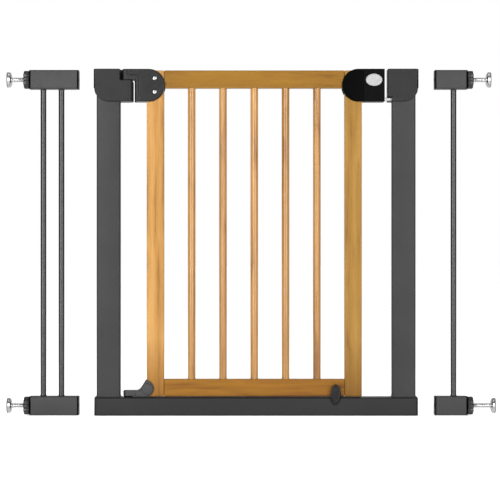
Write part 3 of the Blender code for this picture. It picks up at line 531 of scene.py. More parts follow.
def shell(name, node, outline, plan, material, early=(), late=()):
    """One shell of a pair: its front view given depth, rounded in plan, softened and hollowed."""
    low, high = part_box(node)
    seam, face = (high[1], low[1]) if low[1] < -0.001 else (low[1], high[1])
    piece = new_piece(name, slab(outline, "Y", seam, face), material)
    carve(piece, slab(plan, "Z", low[2] - 0.02, high[2] + 0.02), operation="INTERSECT")
    carve(piece, *early)
    soften(piece, EDGE, seam=seam)
    carve(piece, *late)
    dress(piece)
    return piece


def post_pocket(side):
    """The hollow that a post's head fills."""
    low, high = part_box(f"{side}_post")
    grow = POST_GAP
    return box_tool((low[0] - grow, low[1] - grow, 0.6), (high[0] + grow, high[1] + grow, high[2] + grow))


def mottled(name, pattern, dark, light, spread, base, relief=None, **constants):
    """Tone and roughness drift together; a pattern is a noise's scale, detail and roughness."""
    finish = Finish(name, **constants)
    drift = finish.noise(*pattern)
    finish.feed(Base_Color=finish.blend(drift, (*dark, 1), (*light, 1)), Roughness=drift * spread + base)
    if relief:
        grain, depth, strength = relief
        finish.relief(finish.noise(*grain), depth, strength)
    return finish.material


zinc = mottled("zinc plate", (240, 4.0, 0.65), (0.25, 0.25, 0.255), (0.46, 0.46, 0.47), 0.2, 0.2,
               ((1500, 2.0), 0.00008, 0.4), Metallic=1.0)


def screw_head(name, radius, height, x, z, face, outward, shank_end):
    """A pan head screw along Y with a cross recess; face is where its head's rim sits."""
    top = face + outward * height
    dome = [(radius * math.cos(a), face + outward * (height * 0.35 + height * 0.65 * math.sin(a)))
            for a in [math.radians(18 * i) for i in range(5)]]
    profile = [(0, shank_end), (0.0021, shank_end), (0.0021, face), (radius, face)] + dome + [(0, top)]
    screw = new_piece(name, turned(profile, (x, z), "Y", 32), zinc)
    for across, along in ((radius * 0.62, radius * 0.13), (radius * 0.13, radius * 0.62)):
        carve(screw, box_tool(*sorted_corners((x - across, top - outward * height * 0.6, z - along),
                                              (x + across, top + outward * 0.01, z + along))))
    dress(screw)
    return screw


def sorted_corners(a, b):
    return [min(p, q) for p, q in zip(a, b)], [max(p, q) for p, q in zip(a, b)]


def rear_screws(label, places, face, body):
    """The short screws that hold a pair of shells together, sunk in the rear one."""
    for number, (x, z) in enumerate(places, 1):
        head = screw_head(f"{label}_rear_screw_{number}", 0.0032, 0.0014, x, z, face - SINK_DEPTH, 1,
                          face - 0.006)
        fit(head, body, "plated_steel")


def sink(x, z, face, radius, depth, outward):
    """A round counterbore for a screw's head."""
    return rod(radius, (x, z), "Y", face - outward * depth, face + outward * 0.01, 32)


def rear_sinks(places, face):
    return [sink(x, z, face, SINK_RADIUS, SINK_DEPTH, 1) for x, z in places]


low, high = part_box("hinge_housing_front")
rear_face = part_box("hinge_housing_rear")[1][1]
stud_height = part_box("left_top_rail")[1][2] - 0.021
leaf_half_depth = -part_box("hinge_leaf_front")[0][1]
knuckle_floor = high[2] - KNUCKLE_HEIGHT
beyond = (high[0] + 0.01, 0.05, high[2] + 0.01)
for name, node in (("fixed_hinge_front", "hinge_housing_front"), ("fixed_hinge_rear", "hinge_housing_rear")):
    bend_x = high[0] - SHOULDER_ROUND
    shoulder = slab([(high[0] + 0.001, knuckle_floor + 0.001), (bend_x, knuckle_floor + 0.001)]
                    + arc((bend_x, knuckle_floor - SHOULDER_ROUND), SHOULDER_ROUND, 90, 0, 8)
                    + [(high[0] + 0.001, knuckle_floor - SHOULDER_ROUND)], "Y", -0.05, 0.05)
    early, late = [], [post_pocket("left"),
                       rod(PIN_BORE, (hinge_x, 0), "Z", low[2] + 0.003, high[2] + 0.01),
                       rod(SOCKET_RADIUS, (0, stud_height), "X", low[0] - 0.01, low[0] + 0.0045)]
    if name.endswith("front"):
        early = [box_tool((hinge_x - leaf_half_depth - 0.0013, -0.05, knuckle_floor), beyond), shoulder]
    else:
        late = [box_tool((hinge_x - 0.008, -0.05, knuckle_floor), beyond),
                rod(leaf_half_depth + 0.0009, (hinge_x, 0), "Z", knuckle_floor, beyond[2], 64),
                shoulder] + late + rear_sinks(HOUSING_SCREWS, rear_face)
    plan = rounded_plan((low[0], low[1]), (high[0], rear_face), 0.005, 0.0108)
    piece = shell(name, node, cap_outline(high[0], low[0], low[2], high[2]), plan, grey_plastic, early, late)
    fit(piece, "frame", "cap_plastic", node)
rear_screws("hinge_housing", HOUSING_SCREWS, rear_face, "frame")

low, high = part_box("keeper_front")
bolt_low, bolt_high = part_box("latch_bolt")
bolt_top = bolt_low[2] + 0.007
for name, node in (("keeper_shell_front", "keeper_front"), ("keeper_shell_rear", "keeper_rear")):
    late = [box_tool((low[0] - 0.01, -0.03, bolt_low[2] - 0.0013),
                     (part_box("right_post")[0][0] + 0.0012, bolt_high[1] + 0.001, bolt_top + 0.002)),
            post_pocket("right"), rod(SOCKET_RADIUS, (0, stud_height), "X", high[0] - 0.0045, high[0] + 0.01)]
    if name.endswith("rear"):
        late += rear_sinks(KEEPER_SCREWS, rear_face)
    plan = rounded_plan((low[0], low[1]), (high[0], rear_face), 0.004, 0.005)
    piece = shell(name, node, cap_outline(low[0], high[0], low[2], high[2]), plan, grey_plastic, (), late)
    fit(piece, "frame", "cap_plastic", node)
rear_screws("keeper", KEEPER_SCREWS, rear_face, "frame")


# ---- Wooden stiles and rails -----------------------------------------------------------------------
# The leaf's frame is planed softwood with eased edges under a honey-coloured satin varnish. The stiles
# run full height and the rails are tenoned between them, so the grain turns at each shoulder.

LIGHT_WOOD = (0.42, 0.222, 0.066)
DARK_WOOD = (0.215, 0.090, 0.0125)
VEIN_WOOD = (0.115, 0.038, 0.005)
FOOT_TINT = (0.60, 0.50, 0.20, 1.0)
BOARD_EDGE = 0.0022
SHOULDER_GAP = 0.0002
MORTISE_DEPTH = 0.0153
SCREW_BORE = 0.0026
BAR_HOLE_RADIUS = 0.0089


def varnished_wood(name, along, shift, tone):
    """Straight grain along one axis: bands, fibres and veins. A stile is darker towards its foot."""
    wood = Finish(name, Roughness=0.36, Specular_IOR_Level=0.12,
                  Coat_Weight=0.6 if "bar" in name else 0.2, Coat_Roughness=0.16)
    long = {"X": (0.055, 1, 1), "Z": (1, 1, 0.055)}[along]
    fine = {"X": (0.02, 1, 1), "Z": (1, 1, 0.02)}[along]
    bend = wood.noise(5, 2.0, 0.5, wood.stretched((1, 1, 1), shift))
    where = wood.stretched(long, shift)
    waver = wood.node("VectorMath", {"operation": "SCALE"}, {0: (0.02, 0.02, 0.02), "Scale": bend})
    bent = wood.node("VectorMath", {"operation": "ADD"}, {0: where, 1: waver})
    bands = wood.noise(70, 3.0, 0.55, bent)
    fibre = wood.noise(520, 3.0, 0.6, wood.stretched(fine, shift))
    pores = wood.stop(wood.noise(900, 1.0, 0.5, wood.stretched(fine, shift)), 0.62, 0.70)
    patch = wood.stop(wood.noise(11, 3.0, 0.55, wood.stretched(long, shift)), 0.30, 0.72)
    light, dark, vein = [(*(channel * factor for channel, factor in zip(colour, tone)), 1.0)
                         for colour in (LIGHT_WOOD, DARK_WOOD, VEIN_WOOD)]
    grain = wood.stop(bands, 0.34, 0.70)
    base = wood.blend(grain * 0.55 + patch * 0.35 + fibre * 0.12, light, dark)
    lined = wood.blend(wood.stop(bands, 0.58, 0.67) * 0.42, base, vein)
    lined = wood.blend(pores * 0.34, lined, vein)
    if "stile" in name:
        height = wood.node("SeparateXYZ", {}, {0: wood.place}, "Z")
        deep = wood.node("Mix", {"data_type": "RGBA", "blend_type": "MULTIPLY"},
                         {"Factor": 1.0, 6: lined, 7: FOOT_TINT}, 2)
        lined = wood.blend(wood.stop(height, 0.17, 0.05), lined, deep)
    wood.feed(Base_Color=lined, Roughness=fibre * 0.16 + 0.28)
    wood.relief(fibre * 0.6 + grain * 0.4 - pores * 0.35, 0.00022, 0.45)
    return wood.material


def board(name, low, high, material):
    """A planed board with its long edges eased."""
    piece = new_piece(name, box_tool(low, high), material)
    soften(piece, BOARD_EDGE, 4)
    return piece


HINGE_SCREWS = ("hinge_screw_upper", "hinge_screw_lower")
stile_inner = {"left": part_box("left_stile")[1][0], "right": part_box("right_stile")[0][0]}
for number, (side, tone) in enumerate((("left", (1.0, 1.02, 1.0)), ("right", (0.72, 0.76, 0.52)))):
    low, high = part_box(f"{side}_stile")
    wood = varnished_wood(f"varnished {side} stile", "Z", (0.31 * number + 0.07, 0.2, 0.4 * number), tone)
    stile = board(f"{side}_stile_board", low, high, wood)
    for node in ("top_rail", "bottom_rail"):
        tongue_low, tongue_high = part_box(node)
        edge, into = stile_inner[side], -1 if side == "left" else 1
        start, end = sorted((edge - into * 0.01, edge + into * MORTISE_DEPTH))
        carve(stile, box_tool((start, -0.0053, tongue_low[2] + 0.0057),
                              (end, 0.0053, tongue_high[2] - 0.0057)))
    if side == "left":
        for screw in HINGE_SCREWS:
            carve(stile, rod(SCREW_BORE, centre_xz(screw), "Y", -0.03, 0.03, 24))
    dress(stile)
    fit(stile, "leaf", "varnished_wood", f"{side}_stile")

bar_nodes = [f"leaf_bar_{number}" for number in range(1, 6)]
# The rails are the stiles' softwood; their darker tones are painted shade, for the weaker light that falls on
# them.
rail_shade_tones = {"top_rail": (0.52, 0.48, 0.14), "bottom_rail": (0.60, 0.50, 0.08)}
for number, (node, tone) in enumerate(rail_shade_tones.items()):
    low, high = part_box(node)
    wood = varnished_wood(f"varnished {node.replace('_', ' ')}", "X", (0.5 * number, 0.13, 0.21 + number),
                          tone)
    rail = board(f"{node}_board", (stile_inner["left"] + SHOULDER_GAP, low[1], low[2]),
                 (stile_inner["right"] - SHOULDER_GAP, high[1], high[2]), wood)
    for inner, outward in ((stile_inner["left"], -1), (stile_inner["right"], 1)):
        start, end = sorted((inner - outward * 0.004, inner + outward * 0.015))
        carve(rail, box_tool((start, -0.005, low[2] + 0.006), (end, 0.005, high[2] - 0.006)),
              operation="UNION")
    for bar_node in bar_nodes:
        bar_low, bar_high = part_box(bar_node)
        hole = (bar_low[2] - 0.0003, high[2] + 0.01)
        if node == "top_rail":
            hole = (low[2] - 0.01, bar_high[2] + 0.0003)
        carve(rail, rod(BAR_HOLE_RADIUS, (centre_xz(bar_node)[0], 0), "Z", *hole))
    if node == "bottom_rail":
        carve(rail, rod(SCREW_BORE, centre_xz("door_stop_screw"), "Y", -0.03, 0.0065, 24))
    dress(rail)
    fit(rail, "leaf", "varnished_wood", node)


# ---- Round leaf bars -------------------------------------------------------------------------------
# Five turned wooden bars stand between the rails, glued in blind holes. Each is cut from another
# length of stock, so its grain and tone differ a little from its neighbours'.

BAR_TONES = (0.90, 0.86, 0.92, 0.84, 0.87)


def upright_rod(name, node, x, ease, material):
    """A round rod as tall and thick as its node's box, with both ends eased."""
    low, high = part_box(node)
    radius = (high[0] - low[0]) / 2
    profile = [(0, low[2]), (radius - ease, low[2]), (radius, low[2] + ease), (radius, high[2] - ease),
               (radius - ease, high[2]), (0, high[2])]
    return new_piece(name, turned(profile, (x, 0), "Z"), material)


for number, (node, tone) in enumerate(zip(bar_nodes, BAR_TONES)):
    wood = varnished_wood(f"varnished bar {number + 1}", "Z", (0.17 * number, 0.4, 0.29 * number),
                          (tone,) * 3)
    fit(upright_rod(f"turned_bar_{number + 1}", node, centre_xz(node)[0], 0.001, wood), "leaf",
        "varnished_wood", node)


# ---- Upper hinge on the leaf -----------------------------------------------------------------------
# Two moulded shells clamp the stile's head, held by two plated screws right through the wood. The
# front one steps up from its knuckle to a D-shaped plate, and a steel pin joins it to the fixed half.

low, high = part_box("hinge_leaf_front")
rear_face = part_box("hinge_leaf_rear")[1][1]
round_radius = (high[2] - low[2]) / 2
round_centre = (high[0] - round_radius, (low[2] + high[2]) / 2)
block_left = hinge_x + 0.0175
moving_floor = knuckle_floor + 0.0003
PLATE_STEP = 0.0019
PLATE_ROUND = 0.0030
PLATE_INSET = 0.00005
KNUCKLE_ROUND = 0.0098
KNUCKLE_FLAT = 0.0057
hinge_plastic = moulded_plastic("dark hinge plastic", (0.0058, 0.0058, 0.0060), 0.34, 0.2)


def block_outline(foot_left):
    return ([(low[0], high[2]), (low[0], moving_floor), (foot_left, moving_floor), (foot_left, low[2])]
            + arc(round_centre, round_radius, -90, 90, 32))


def plate_outline():
    """The raised plate's edge follows the knuckle's floor and the block's side, with a round bend."""
    shelf, side_x, bend = moving_floor + 0.0105, block_left + 0.0062, 0.010
    top, floor = high[2] - PLATE_INSET, low[2] + PLATE_INSET
    return ([(hinge_x - 0.002, top)] + arc((hinge_x + 0.002, shelf + 0.004), 0.004, 180, 270, 4)
            + arc((side_x - bend, shelf - bend), bend, 90, 0, 10) + [(side_x, floor)]
            + arc(round_centre, round_radius - PLATE_INSET, -90, 90, 32))


def wood_pocket(low_x, high_x):
    """The hollow that the leaf's wooden corner fills inside its cap."""
    return box_tool((low_x, -0.0103, 0.6), (high_x, 0.0103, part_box("top_rail")[1][2] + 0.0003))


for name, node, face in (("moving_hinge_front", "hinge_leaf_front", low[1]),
                         ("moving_hinge_rear", "hinge_leaf_rear", rear_face)):
    seam = math.copysign(0.00015, face)
    base = face + PLATE_STEP if face < 0 else face
    foot_left = block_left if face < 0 else hinge_x + 0.0136
    piece = new_piece(name, slab(block_outline(foot_left), "Y", seam, base), hinge_plastic)
    round_x = low[0] + KNUCKLE_ROUND
    plan = (arc((round_x, KNUCKLE_FLAT), KNUCKLE_ROUND, 90, 180, 8)
            + arc((round_x, -KNUCKLE_FLAT), KNUCKLE_ROUND, 180, 270, 8)
            + [(high[0] + 0.01, low[1]), (high[0] + 0.01, rear_face)])
    carve(piece, slab(plan, "Z", low[2] - 0.02, high[2] + 0.02), operation="INTERSECT")
    if face > 0:
        carve(piece, box_tool((hinge_x, -0.01, low[2] - 0.01), (block_left, 0.0095, moving_floor)))
    soften(piece, EDGE, seam=seam)
    if face < 0:
        plate = new_piece("hinge_plate", slab(plate_outline(), "Y", base + 0.006, face), hinge_plastic)
        soften(plate, PLATE_ROUND, 5, seam=base + 0.006)
        join = bmesh.new()
        join.from_mesh(plate.data)
        bpy.data.objects.remove(plate, do_unlink=True)
        carve(piece, join, operation="UNION")
    carve(piece, wood_pocket(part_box("left_stile")[0][0] - 0.0003, 0.0),
          rod(PIN_BORE, (hinge_x, 0), "Z", knuckle_floor - 0.01, high[2] - 0.0025))
    for x, z in map(centre_xz, HINGE_SCREWS):
        carve(piece, rod(SCREW_BORE, (x, z), "Y", -0.03, rear_face - 0.0025, 24))
        if face < 0:
            carve(piece, sink(x, z, face, 0.0053, 0.003, -1))
    dress(piece)
    fit(piece, "leaf", "cap_plastic", node)
for node in HINGE_SCREWS:
    head = screw_head(f"{node}_pan", 0.005, 0.0024, *centre_xz(node), low[1] + 0.0028, -1, -low[1] - 0.003)
    fit(head, "leaf", "plated_steel", node)

for node, name in (("hinge_pin", "upper_hinge_pin"), ("lower_hinge_pin", "lower_pin")):
    fit(upright_rod(name, node, hinge_x, 0.0006, zinc), "leaf", "plated_steel", node)


# ---- Lower hinge bracket ---------------------------------------------------------------------------
# A moulded shoe wraps the stile's foot. Its round cheek with a raised pad lies on the wood, a ribbed
# back sweeps down to a low toe on the hinge line, and the lower pin stands in the toe.

bracket_plastic = moulded_plastic("mid grey plastic", (0.024, 0.024, 0.0245), 0.40, 0.3)
low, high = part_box("lower_hinge_bracket")
CHEEK_RADIUS = 0.0184
TOE_RADIUS = 0.0106
RAISED = 0.0008
PAD_RADIUS = 0.0118
cheek_centre = (high[0] - CHEEK_RADIUS, high[2] - CHEEK_RADIUS)
toe_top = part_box("bottom_bar")[1][2] + 0.015


def bracket_outline():
    """Front view: a flat toe, a hollow sweep up to the cheek, and the cheek's round."""
    sweep = [(low[0] + 0.032 + 0.0175 * (i / 12) ** 0.9, toe_top + 0.0227 * (i / 12) ** 1.25)
             for i in range(12)]
    return ([(low[0], low[2]), (low[0], toe_top - 0.002), (low[0] + 0.002, toe_top)] + sweep
            + arc(cheek_centre, CHEEK_RADIUS, 90, -60, 24) + [(cheek_centre[0] + 0.008, low[2])])


def skinned(rings):
    """A closed bmesh through rings of points, with a face over each end."""
    mesh = bmesh.new()
    rings = [[mesh.verts.new(point) for point in ring] for ring in rings]
    for near, far in zip(rings, rings[1:]):
        for i in range(len(near)):
            j = (i + 1) % len(near)
            mesh.faces.new((near[i], near[j], far[j], far[i]))
    mesh.faces.new(rings[0])
    mesh.faces.new(rings[-1])
    return mesh


def bead(path, along, radius):
    """A round bar along an open path in the front view."""
    rings = []
    for i, point in enumerate(path):
        heading = Vector(path[min(i + 1, len(path) - 1)]) - Vector(path[max(i - 1, 0)])
        side = heading.orthogonal().normalized() * radius
        rings.append([in_space(Vector(point) + side * math.cos(t), along + radius * math.sin(t), "Y")
                      for t in [2 * math.pi * k / 12 for k in range(12)]])
    return skinned(rings)


bracket = new_piece("hinge_shoe", slab(bracket_outline(), "Y", low[1] + RAISED, high[1] - RAISED),
                    bracket_plastic)
toe_end = hinge_x + 0.018
toe_plan = (arc((hinge_x, 0), TOE_RADIUS, 90, 270, 16)
            + [(toe_end, -TOE_RADIUS), (toe_end, low[1]), (0, low[1]), (0, high[1]), (toe_end, high[1]),
               (toe_end, TOE_RADIUS)])
carve(bracket, slab(toe_plan, "Z", -0.02, 0.2), operation="INTERSECT")
soften(bracket, 0.0013, 4)
rise = [(x + 0.0022, z - 0.0024) for x, z in bracket_outline()[3:14]]
ribs = [[(hinge_x + 0.020, toe_top - 0.0026)] + rise,
        [(hinge_x + 0.020, low[2] + 0.0038), (rise[1][0], low[2] + 0.0038)]]
pad_centre = (high[0] - PAD_RADIUS - 0.0018, cheek_centre[1] - 0.0012)
for face, outward in ((low[1] + RAISED, -1), (high[1] - RAISED, 1)):
    pad_side = [(0, face - outward * 0.001), (PAD_RADIUS, face - outward * 0.001),
                (PAD_RADIUS, face + outward * 0.0002), (PAD_RADIUS - 0.0007, face + outward * RAISED),
                (0, face + outward * RAISED)]
    moat = [(PAD_RADIUS + 0.0009 * math.cos(t), face + 0.0009 * math.sin(t))
            for t in [math.radians(30 * i) for i in range(12)]]
    carve(bracket, turned(moat, pad_centre, "Y", 64))
    carve(bracket, turned(pad_side, pad_centre, "Y", 64), *(bead(path, face, 0.0007) for path in ribs),
          operation="UNION")
stile_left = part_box("left_stile")[0]
carve(bracket, box_tool((stile_left[0] - 0.0003, -0.0103, stile_left[2] - 0.0003), (0.0, 0.0103, 0.2)),
      rod(PIN_BORE, (hinge_x, 0), "Z", 0.02, toe_top - 0.0037))
dress(bracket)
fit(bracket, "leaf", "fitting_plastic", "lower_hinge_bracket")


# ---- Latch housing, button and bolt ----------------------------------------------------------------
# A black pair of shells on the leaf's other corner: a rounded end over the wood and, past a joint
# line, a slightly lower cover with the oval push button. A plated bolt slides out below it.

low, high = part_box("latch_housing_front")
rear_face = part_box("latch_housing_rear")[1][1]
round_radius = (high[2] - low[2]) / 2
round_centre = (low[0] + round_radius, (low[2] + high[2]) / 2)
JOINT_X = 0.2353
COVER_STEP = 0.0005
COVER_DEPTH = 0.0025
BUTTON_GAP = 0.0004
BUTTON_HALF = (0.0182, 0.0135)
LATCH_SCREWS = [(0.2065, 0.744), (0.2065, 0.704), (0.2705, 0.748)]
button_middle = centre_xz("latch_button")


def grown_oval(grow):
    """The button's outline, this much larger all round."""
    return oval(button_middle, BUTTON_HALF[0] + grow, BUTTON_HALF[1] + grow)


latch_outline = [(high[0], low[2]), (high[0], high[2])] + arc(round_centre, round_radius, 90, 270, 32)
channel = (0.0054, bolt_low[2] - 0.0004, bolt_top + 0.0004)
latch_plan = rounded_plan((low[0], low[1]), (high[0], rear_face), 0.0012, 0.002)
for name, node in (("latch_shell_front", "latch_housing_front"), ("latch_shell_rear", "latch_housing_rear")):
    late = [wood_pocket(0.0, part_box("right_stile")[1][0] + 0.0003),
            box_tool((0.2357, -0.0122, bolt_top + 0.002), (high[0] - 0.003, 0.0122, high[2] - 0.003)),
            box_tool((0.2365, -channel[0], channel[1]), (high[0] + 0.01, channel[0], channel[2])),
            box_tool((0.2375, -channel[0], channel[1] + 0.001), (0.2644, channel[0], bolt_top + 0.005))]
    if name.endswith("front"):
        late += [box_tool((JOINT_X, -0.05, low[2] - 0.01), (high[0] + 0.01, low[1] + 0.0026, high[2] + 0.01)),
                 slab(grown_oval(BUTTON_GAP), "Y", -0.05, -0.005)]
    else:
        late += rear_sinks(LATCH_SCREWS, rear_face)
    fit(shell(name, node, latch_outline, latch_plan, black_plastic, (), late), "leaf", "latch_plastic", node)
rear_screws("latch_housing", LATCH_SCREWS, rear_face, "leaf")

cover_face = low[1] + COVER_STEP
cover_plastic = moulded_plastic("black cover plastic", (0.0014, 0.0014, 0.0015), 0.42, 0.03)
cover_back = low[1] + COVER_DEPTH
cover = new_piece("latch_cover", box_tool((JOINT_X + 0.0004, cover_face, low[2]),
                                          (high[0], cover_back, high[2])), cover_plastic)
carve(cover, slab(latch_plan, "Z", low[2] - 0.02, high[2] + 0.02), operation="INTERSECT")
soften(cover, 0.0011, seam=cover_back)
carve(cover, slab(grown_oval(BUTTON_GAP), "Y", -0.05, -0.005))
dress(cover)
fit(cover, "leaf", "latch_plastic")
rings = [(grown_oval(grow), cover_face + along) for grow, along in (
    (0.0006, 0.0002), (0.0006, -0.0007), (0.0011, -0.0010), (0.0018, -0.0007), (0.0020, 0.0002))]
fit(new_piece("button_bezel", lofted(rings, "Y", loop=True), black_plastic, 60), "leaf", "latch_plastic")

pale_plastic = mottled("pale grey button plastic", (160, 3.0, 0.6), (0.24, 0.24, 0.245),
                       (0.31, 0.31, 0.315), 0.15, 0.24, ((2200, 2.0), 0.0001, 0.35), IOR=1.5)
front, back = (corner[1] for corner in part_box("latch_button"))
rings = [(grown_oval(grow), along) for grow, along in (
    (-0.009, front + 0.0003), (-0.0045, front + 0.0001), (-0.0030, front), (-0.0018, front + 0.0003),
    (-0.0008, front + 0.0010), (0, front + 0.0024), (0, back - 0.0021), (0.0012, back - 0.0020),
    (0.0012, back))]
fit(new_piece("oval_button", lofted(rings, "Y"), pale_plastic, 60), "latch_button", "button_plastic",
    "latch_button")

bolt = new_piece("sliding_bolt", box_tool(bolt_low, (bolt_high[0], bolt_high[1], bolt_top)), zinc)
soften(bolt, 0.0008)
carve(bolt, box_tool((bolt_low[0] + 0.001, -0.003, bolt_low[2] + 0.001),
                     (bolt_low[0] + 0.006, 0.003, bolt_high[2])), operation="UNION")
dress(bolt)
fit(bolt, "latch_bolt", "plated_steel", "latch_bolt")


def coil(centre, radius, wire, start, end, turns):
    """A round wire wound about an axis along X."""
    steps, rings = 20, []
    for i in range(turns * steps + 1):
        turn, along = 2 * math.pi * i / steps, start + (end - start) * i / (turns * steps)
        ring = [(radius + wire * math.cos(a), along + wire * math.sin(a))
                for a in [2 * math.pi * k / 8 for k in range(8)]]
        rings.append([(x, centre[0] + reach * math.cos(turn), centre[1] + reach * math.sin(turn))
                      for reach, x in ring])
    return skinned(rings)


low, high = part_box("latch_spring")
WIRE = 0.0004
spring_centre = ((low[1] + high[1]) / 2, (low[2] + high[2]) / 2)
spring = new_piece("bolt_spring", coil(spring_centre, (high[2] - low[2]) / 2 - WIRE, WIRE, low[0] + WIRE,
                                       high[0] - WIRE, 8), zinc, 60)
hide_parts("latch_spring")
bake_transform(spring)


# ---- Door stop -------------------------------------------------------------------------------------
# An oval turn button on the bottom rail laps in front of the threshold bar, so the leaf opens one way
# only. It turns stiffly on one screw, over a round boss that holds it off the wood.

low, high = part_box("door_stop")
LEAN = 0.0008
pivot, middle = centre_xz("door_stop_screw"), centre_xz("door_stop")
half = ((high[0] - low[0]) / 2, (high[2] - low[2]) / 2)
plate_back = low[1] + 0.0056


def stop_outline(shrink):
    """The plate leans a little, so its upper tip is right of its middle."""
    outline = oval(middle, half[0] - shrink - LEAN * 0.1, half[1] - shrink, 56)
    return [(x + LEAN * (z - middle[1]) / half[1], z) for x, z in outline]


rings = [(stop_outline(shrink), along) for shrink, along in (
    (0.0062, low[1] + 0.0012), (0.0050, low[1] + 0.0011), (0.0036, low[1]), (0.0020, low[1] + 0.0001),
    (0.0008, low[1] + 0.0008), (0, low[1] + 0.0022), (0, plate_back - 0.0008), (0.0008, plate_back))]
stop_plastic = moulded_plastic("dark grey plastic", (0.0045, 0.0045, 0.0048), 0.34, 0.2)
stop = new_piece("turn_stop", lofted(rings, "Y"), stop_plastic, 60)
carve(stop, rod(0.008, pivot, "Y", plate_back - 0.001, high[1], 40), operation="UNION")
carve(stop, rod(SCREW_BORE, pivot, "Y", -0.05, 0.0, 24), sink(*pivot, low[1], 0.0054, 0.0025, -1))
dress(stop)
fit(stop, "door_stop", "fitting_plastic", "door_stop")
shank_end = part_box("door_stop_screw")[1][1]
head = screw_head("stop_screw_pan", 0.0048, 0.0019, *pivot, low[1] + 0.0022, -1, shank_end)
head.data.materials[0] = mottled("black zinc plate", (300, 3.0, 0.6), (0.008, 0.008, 0.0085),
                                 (0.02, 0.02, 0.021), 0.2, 0.45, Specular_IOR_Level=0.2)
fit(head, "leaf", "plated_steel", "door_stop_screw")


# ---- Extension rails, uprights and plugs -----------------------------------------------------------
# Each extension is a short steel frame: rectangular rails above and below, and round uprights welded
# between them. Moulded plugs close the rails and guide the spindles.

rail_coat = powder_coat("grey powder coat", (0.0265, 0.0265, 0.027), 0.46, 0.2)
upright_coat = powder_coat("black powder coat", (0.004, 0.004, 0.0042), 0.24, 0.5, 0.00006)
RAIL_CORNER = 0.004
CAP_FLANGE = 0.0027
UPRIGHT_RADIUS, UPRIGHT_WALL = 0.0064, 0.0011
WELD_FLARE, WELD_LENGTH = 0.0018, 0.0042


def rail_plug(name, node, face_first):
    """A plug in a rail's end; face_first says that its flange is at the low end of its box."""
    low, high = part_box(node)
    face, inner = (low[0], high[0]) if face_first else (high[0], low[0])
    inward = 1 if face_first else -1
    seat = face + inward * CAP_FLANGE
    plug = new_piece(name, slab(rounded_box(low[1:], high[1:], RAIL_CORNER), "X", face, seat), black_plastic)
    soften(plug, 0.0009)
    inset = STEEL_WALL + PLUG_PLAY
    carve(plug, slab(rounded_box([v + inset for v in low[1:]], [v - inset for v in high[1:]], 0.0025), "X",
                     seat - inward * 0.001, inner), operation="UNION")
    carve(plug, rod(SOCKET_RADIUS, (0, centre_xz(node)[1]), "X", low[0] - 0.01, high[0] + 0.01, 32))
    dress(plug)
    return plug


for side in ("left", "right"):
    body = f"{side}_extension"
    for level in ("top", "bottom"):
        node = f"{side}_{level}_rail"
        low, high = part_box(node)
        fit(steel_tube(f"{side}_{level}_rail_tube", low, high, "X", RAIL_CORNER, rail_coat), body,
            "frame_steel", node)
        for place in ("inner", "outer"):
            plug_node = f"{side}_{level}_{place}_plug"
            face_first = (place == "outer") == (side == "left")
            fit(rail_plug(f"{side}_{level}_{place}_cap", plug_node, face_first), body, "black_plastic",
                plug_node)
    names = ("left_upright_1", "left_upright_2") if side == "left" else ("right_upright",)
    for node in names:
        low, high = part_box(node)
        ends = [(UPRIGHT_RADIUS + WELD_FLARE * (1 - math.sin(a)), WELD_LENGTH * (1 - math.cos(a)))
                for a in [math.radians(15 * i) for i in range(7)]]
        bore = UPRIGHT_RADIUS - UPRIGHT_WALL
        profile = ([(bore, low[2])] + [(r, low[2] + h) for r, h in ends]
                   + [(r, high[2] - h) for r, h in reversed(ends)] + [(bore, high[2])])
        tube = new_piece(f"{node}_tube", turned(profile, (centre_xz(node)[0], 0), "Z"), upright_coat, 60)
        fit(tube, body, "frame_steel", node)


# ---- Hand wheels, spindles and wall pads -----------------------------------------------------------
# A ribbed black wheel runs on a chromed threaded spindle. Turning it presses the spindle's domed foot
# against the wall, with a thin rubber pad between them.

chrome = mottled("bright chrome", (90, 3.0, 0.6), (0.33, 0.33, 0.335), (0.46, 0.46, 0.465), 0.12, 0.08,
                 ((420, 2.0), 0.00005, 0.25), Metallic=1.0)
rubber = mottled("grey pad rubber", (1400, 3.0, 0.6), (0.20, 0.20, 0.205), (0.28, 0.28, 0.285), 0.2, 0.65,
                 ((1400, 3.0, 0.6), 0.0002, 0.5))
wheel_plastic = moulded_plastic("hand wheel plastic", (0.0045, 0.0045, 0.0047), 0.28, 0.4)
RIBS = 10
RIB_DEPTH = 0.0024
WHEEL_STEPS = 160
THREAD_RADIUS = 0.005
THREAD_PITCH = 0.002
THREAD_DEPTH = 0.00045


def wheel_outline(radius, middle):
    """Round ribs with narrow hollows between them, all the way round."""
    points = []
    for i in range(WHEEL_STEPS):
        angle = 2 * math.pi * i / WHEEL_STEPS
        hollow = (0.5 - 0.5 * math.cos(RIBS * angle)) ** 1.6
        reach = radius - RIB_DEPTH * hollow
        points.append((reach * math.cos(angle), middle + reach * math.sin(angle)))
    return points


def hand_wheel(name, node):
    """Both faces are alike: a hub round the hole, a shallow dish and an eased, ribbed rim."""
    low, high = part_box(node)
    middle = (low[2] + high[2]) / 2
    hole, hub, dish, rim_in = (oval((0, middle), radius, radius, WHEEL_STEPS)
                               for radius in (SOCKET_RADIUS, 0.0085, 0.0125, 0.0140))
    full, eased, top = (wheel_outline(max(high[1], 0.020) - cut, middle) for cut in (0, 0.0005, 0.0014))
    half = [(hole, 0), (hub, 0), (hub, 0.0012), (dish, 0.0012), (rim_in, 0), (top, 0), (eased, 0.0005),
            (full, 0.0015)]
    sections = ([(outline, low[0] + depth) for outline, depth in half]
                + [(outline, high[0] - depth) for outline, depth in reversed(half)])
    return new_piece(name, lofted(sections, "X", loop=True), wheel_plastic, 40)


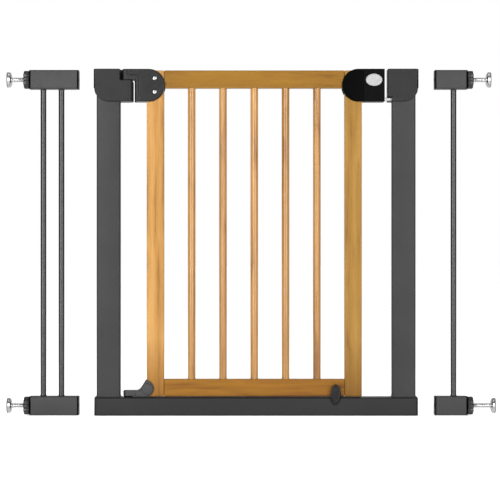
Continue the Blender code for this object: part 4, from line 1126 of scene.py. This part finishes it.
def threaded_spindle(name, node, outward):
    """The rod's thread is a ridge that climbs once a turn; the foot is a dome on a flat disc."""
    low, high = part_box(node)
    middle = (low[2] + high[2]) / 2
    foot, tail = (high[0], low[0]) if outward > 0 else (low[0], high[0])
    foot_radius = (high[2] - low[2]) / 2
    around, rows_per_pitch = 28, 7
    neck = foot - outward * 0.009
    thread_length = abs(neck - tail) - 0.004
    count = int(thread_length / THREAD_PITCH * rows_per_pitch)
    sections = []
    for row in range(count + 1):
        along = row / rows_per_pitch * THREAD_PITCH
        fade = min(1.0, along / 0.002, (thread_length - along) / 0.003 + 0.05)
        outline = []
        for i in range(around):
            turn = i / around
            wave = 0.5 - 0.5 * math.cos(2 * math.pi * (along / THREAD_PITCH - turn))
            reach = THREAD_RADIUS - THREAD_DEPTH * (1 - wave ** 0.7) * max(fade, 0)
            angle = 2 * math.pi * turn
            outline.append((reach * math.cos(angle), middle + reach * math.sin(angle)))
        sections.append((outline, tail + outward * (0.0005 + along)))
    sections.insert(0, (oval((0, middle), 0.0040, 0.0040, around), tail))
    sections.append((oval((0, middle), THREAD_RADIUS, THREAD_RADIUS, around), neck))
    rod_piece = new_piece(name, lofted(sections, "X"), chrome, 70)
    dome = [(THREAD_RADIUS + (foot_radius - 0.0055) * math.sin(a),
             neck + outward * 0.005 * (1 - math.cos(a)) ** 0.9)
            for a in [math.radians(9 * i) for i in range(11)]]
    profile = ([(0, neck - outward * 0.0015), (0.0048, neck - outward * 0.0015)] + dome
               + [(foot_radius, neck + outward * 0.0056), (foot_radius, foot - outward * 0.0008),
                  (foot_radius - 0.0008, foot), (0, foot)])
    carve(rod_piece, turned(profile, (0, middle), "X", 64), operation="UNION")
    rod_piece.data.set_sharp_from_angle(angle=math.radians(60))
    return rod_piece


def wall_pad(name, node, outward):
    """A thin disc with a shallow ring groove in the face that meets the wall."""
    low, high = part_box(node)
    middle = (low[2] + high[2]) / 2
    radius = (high[2] - low[2]) / 2
    back, face = (low[0], high[0]) if outward > 0 else (high[0], low[0])
    profile = [(0, back), (radius - 0.0003, back), (radius, back + outward * 0.0003),
               (radius, face - outward * 0.0006), (radius - 0.0006, face), (0.0105, face),
               (0.0100, face - outward * 0.0004), (0.0090, face - outward * 0.0004), (0.0085, face),
               (0, face)]
    return new_piece(name, turned(profile, (0, middle), "X", 64), rubber, 60)


for side, outward in (("left", -1), ("right", 1)):
    for level in ("top", "bottom"):
        label = f"{side}_{level}"
        fit(hand_wheel(f"{label}_hand_wheel", f"{label}_wheel"), f"{label}_wheel", "black_plastic",
            f"{label}_wheel")
        fit(threaded_spindle(f"{label}_threaded_spindle", f"{label}_spindle", outward), f"{label}_spindle",
            "chrome_spindle", f"{label}_spindle")
        fit(wall_pad(f"{label}_wall_pad", f"{label}_pad", outward), f"{label}_spindle", "pad_rubber",
            f"{label}_pad")
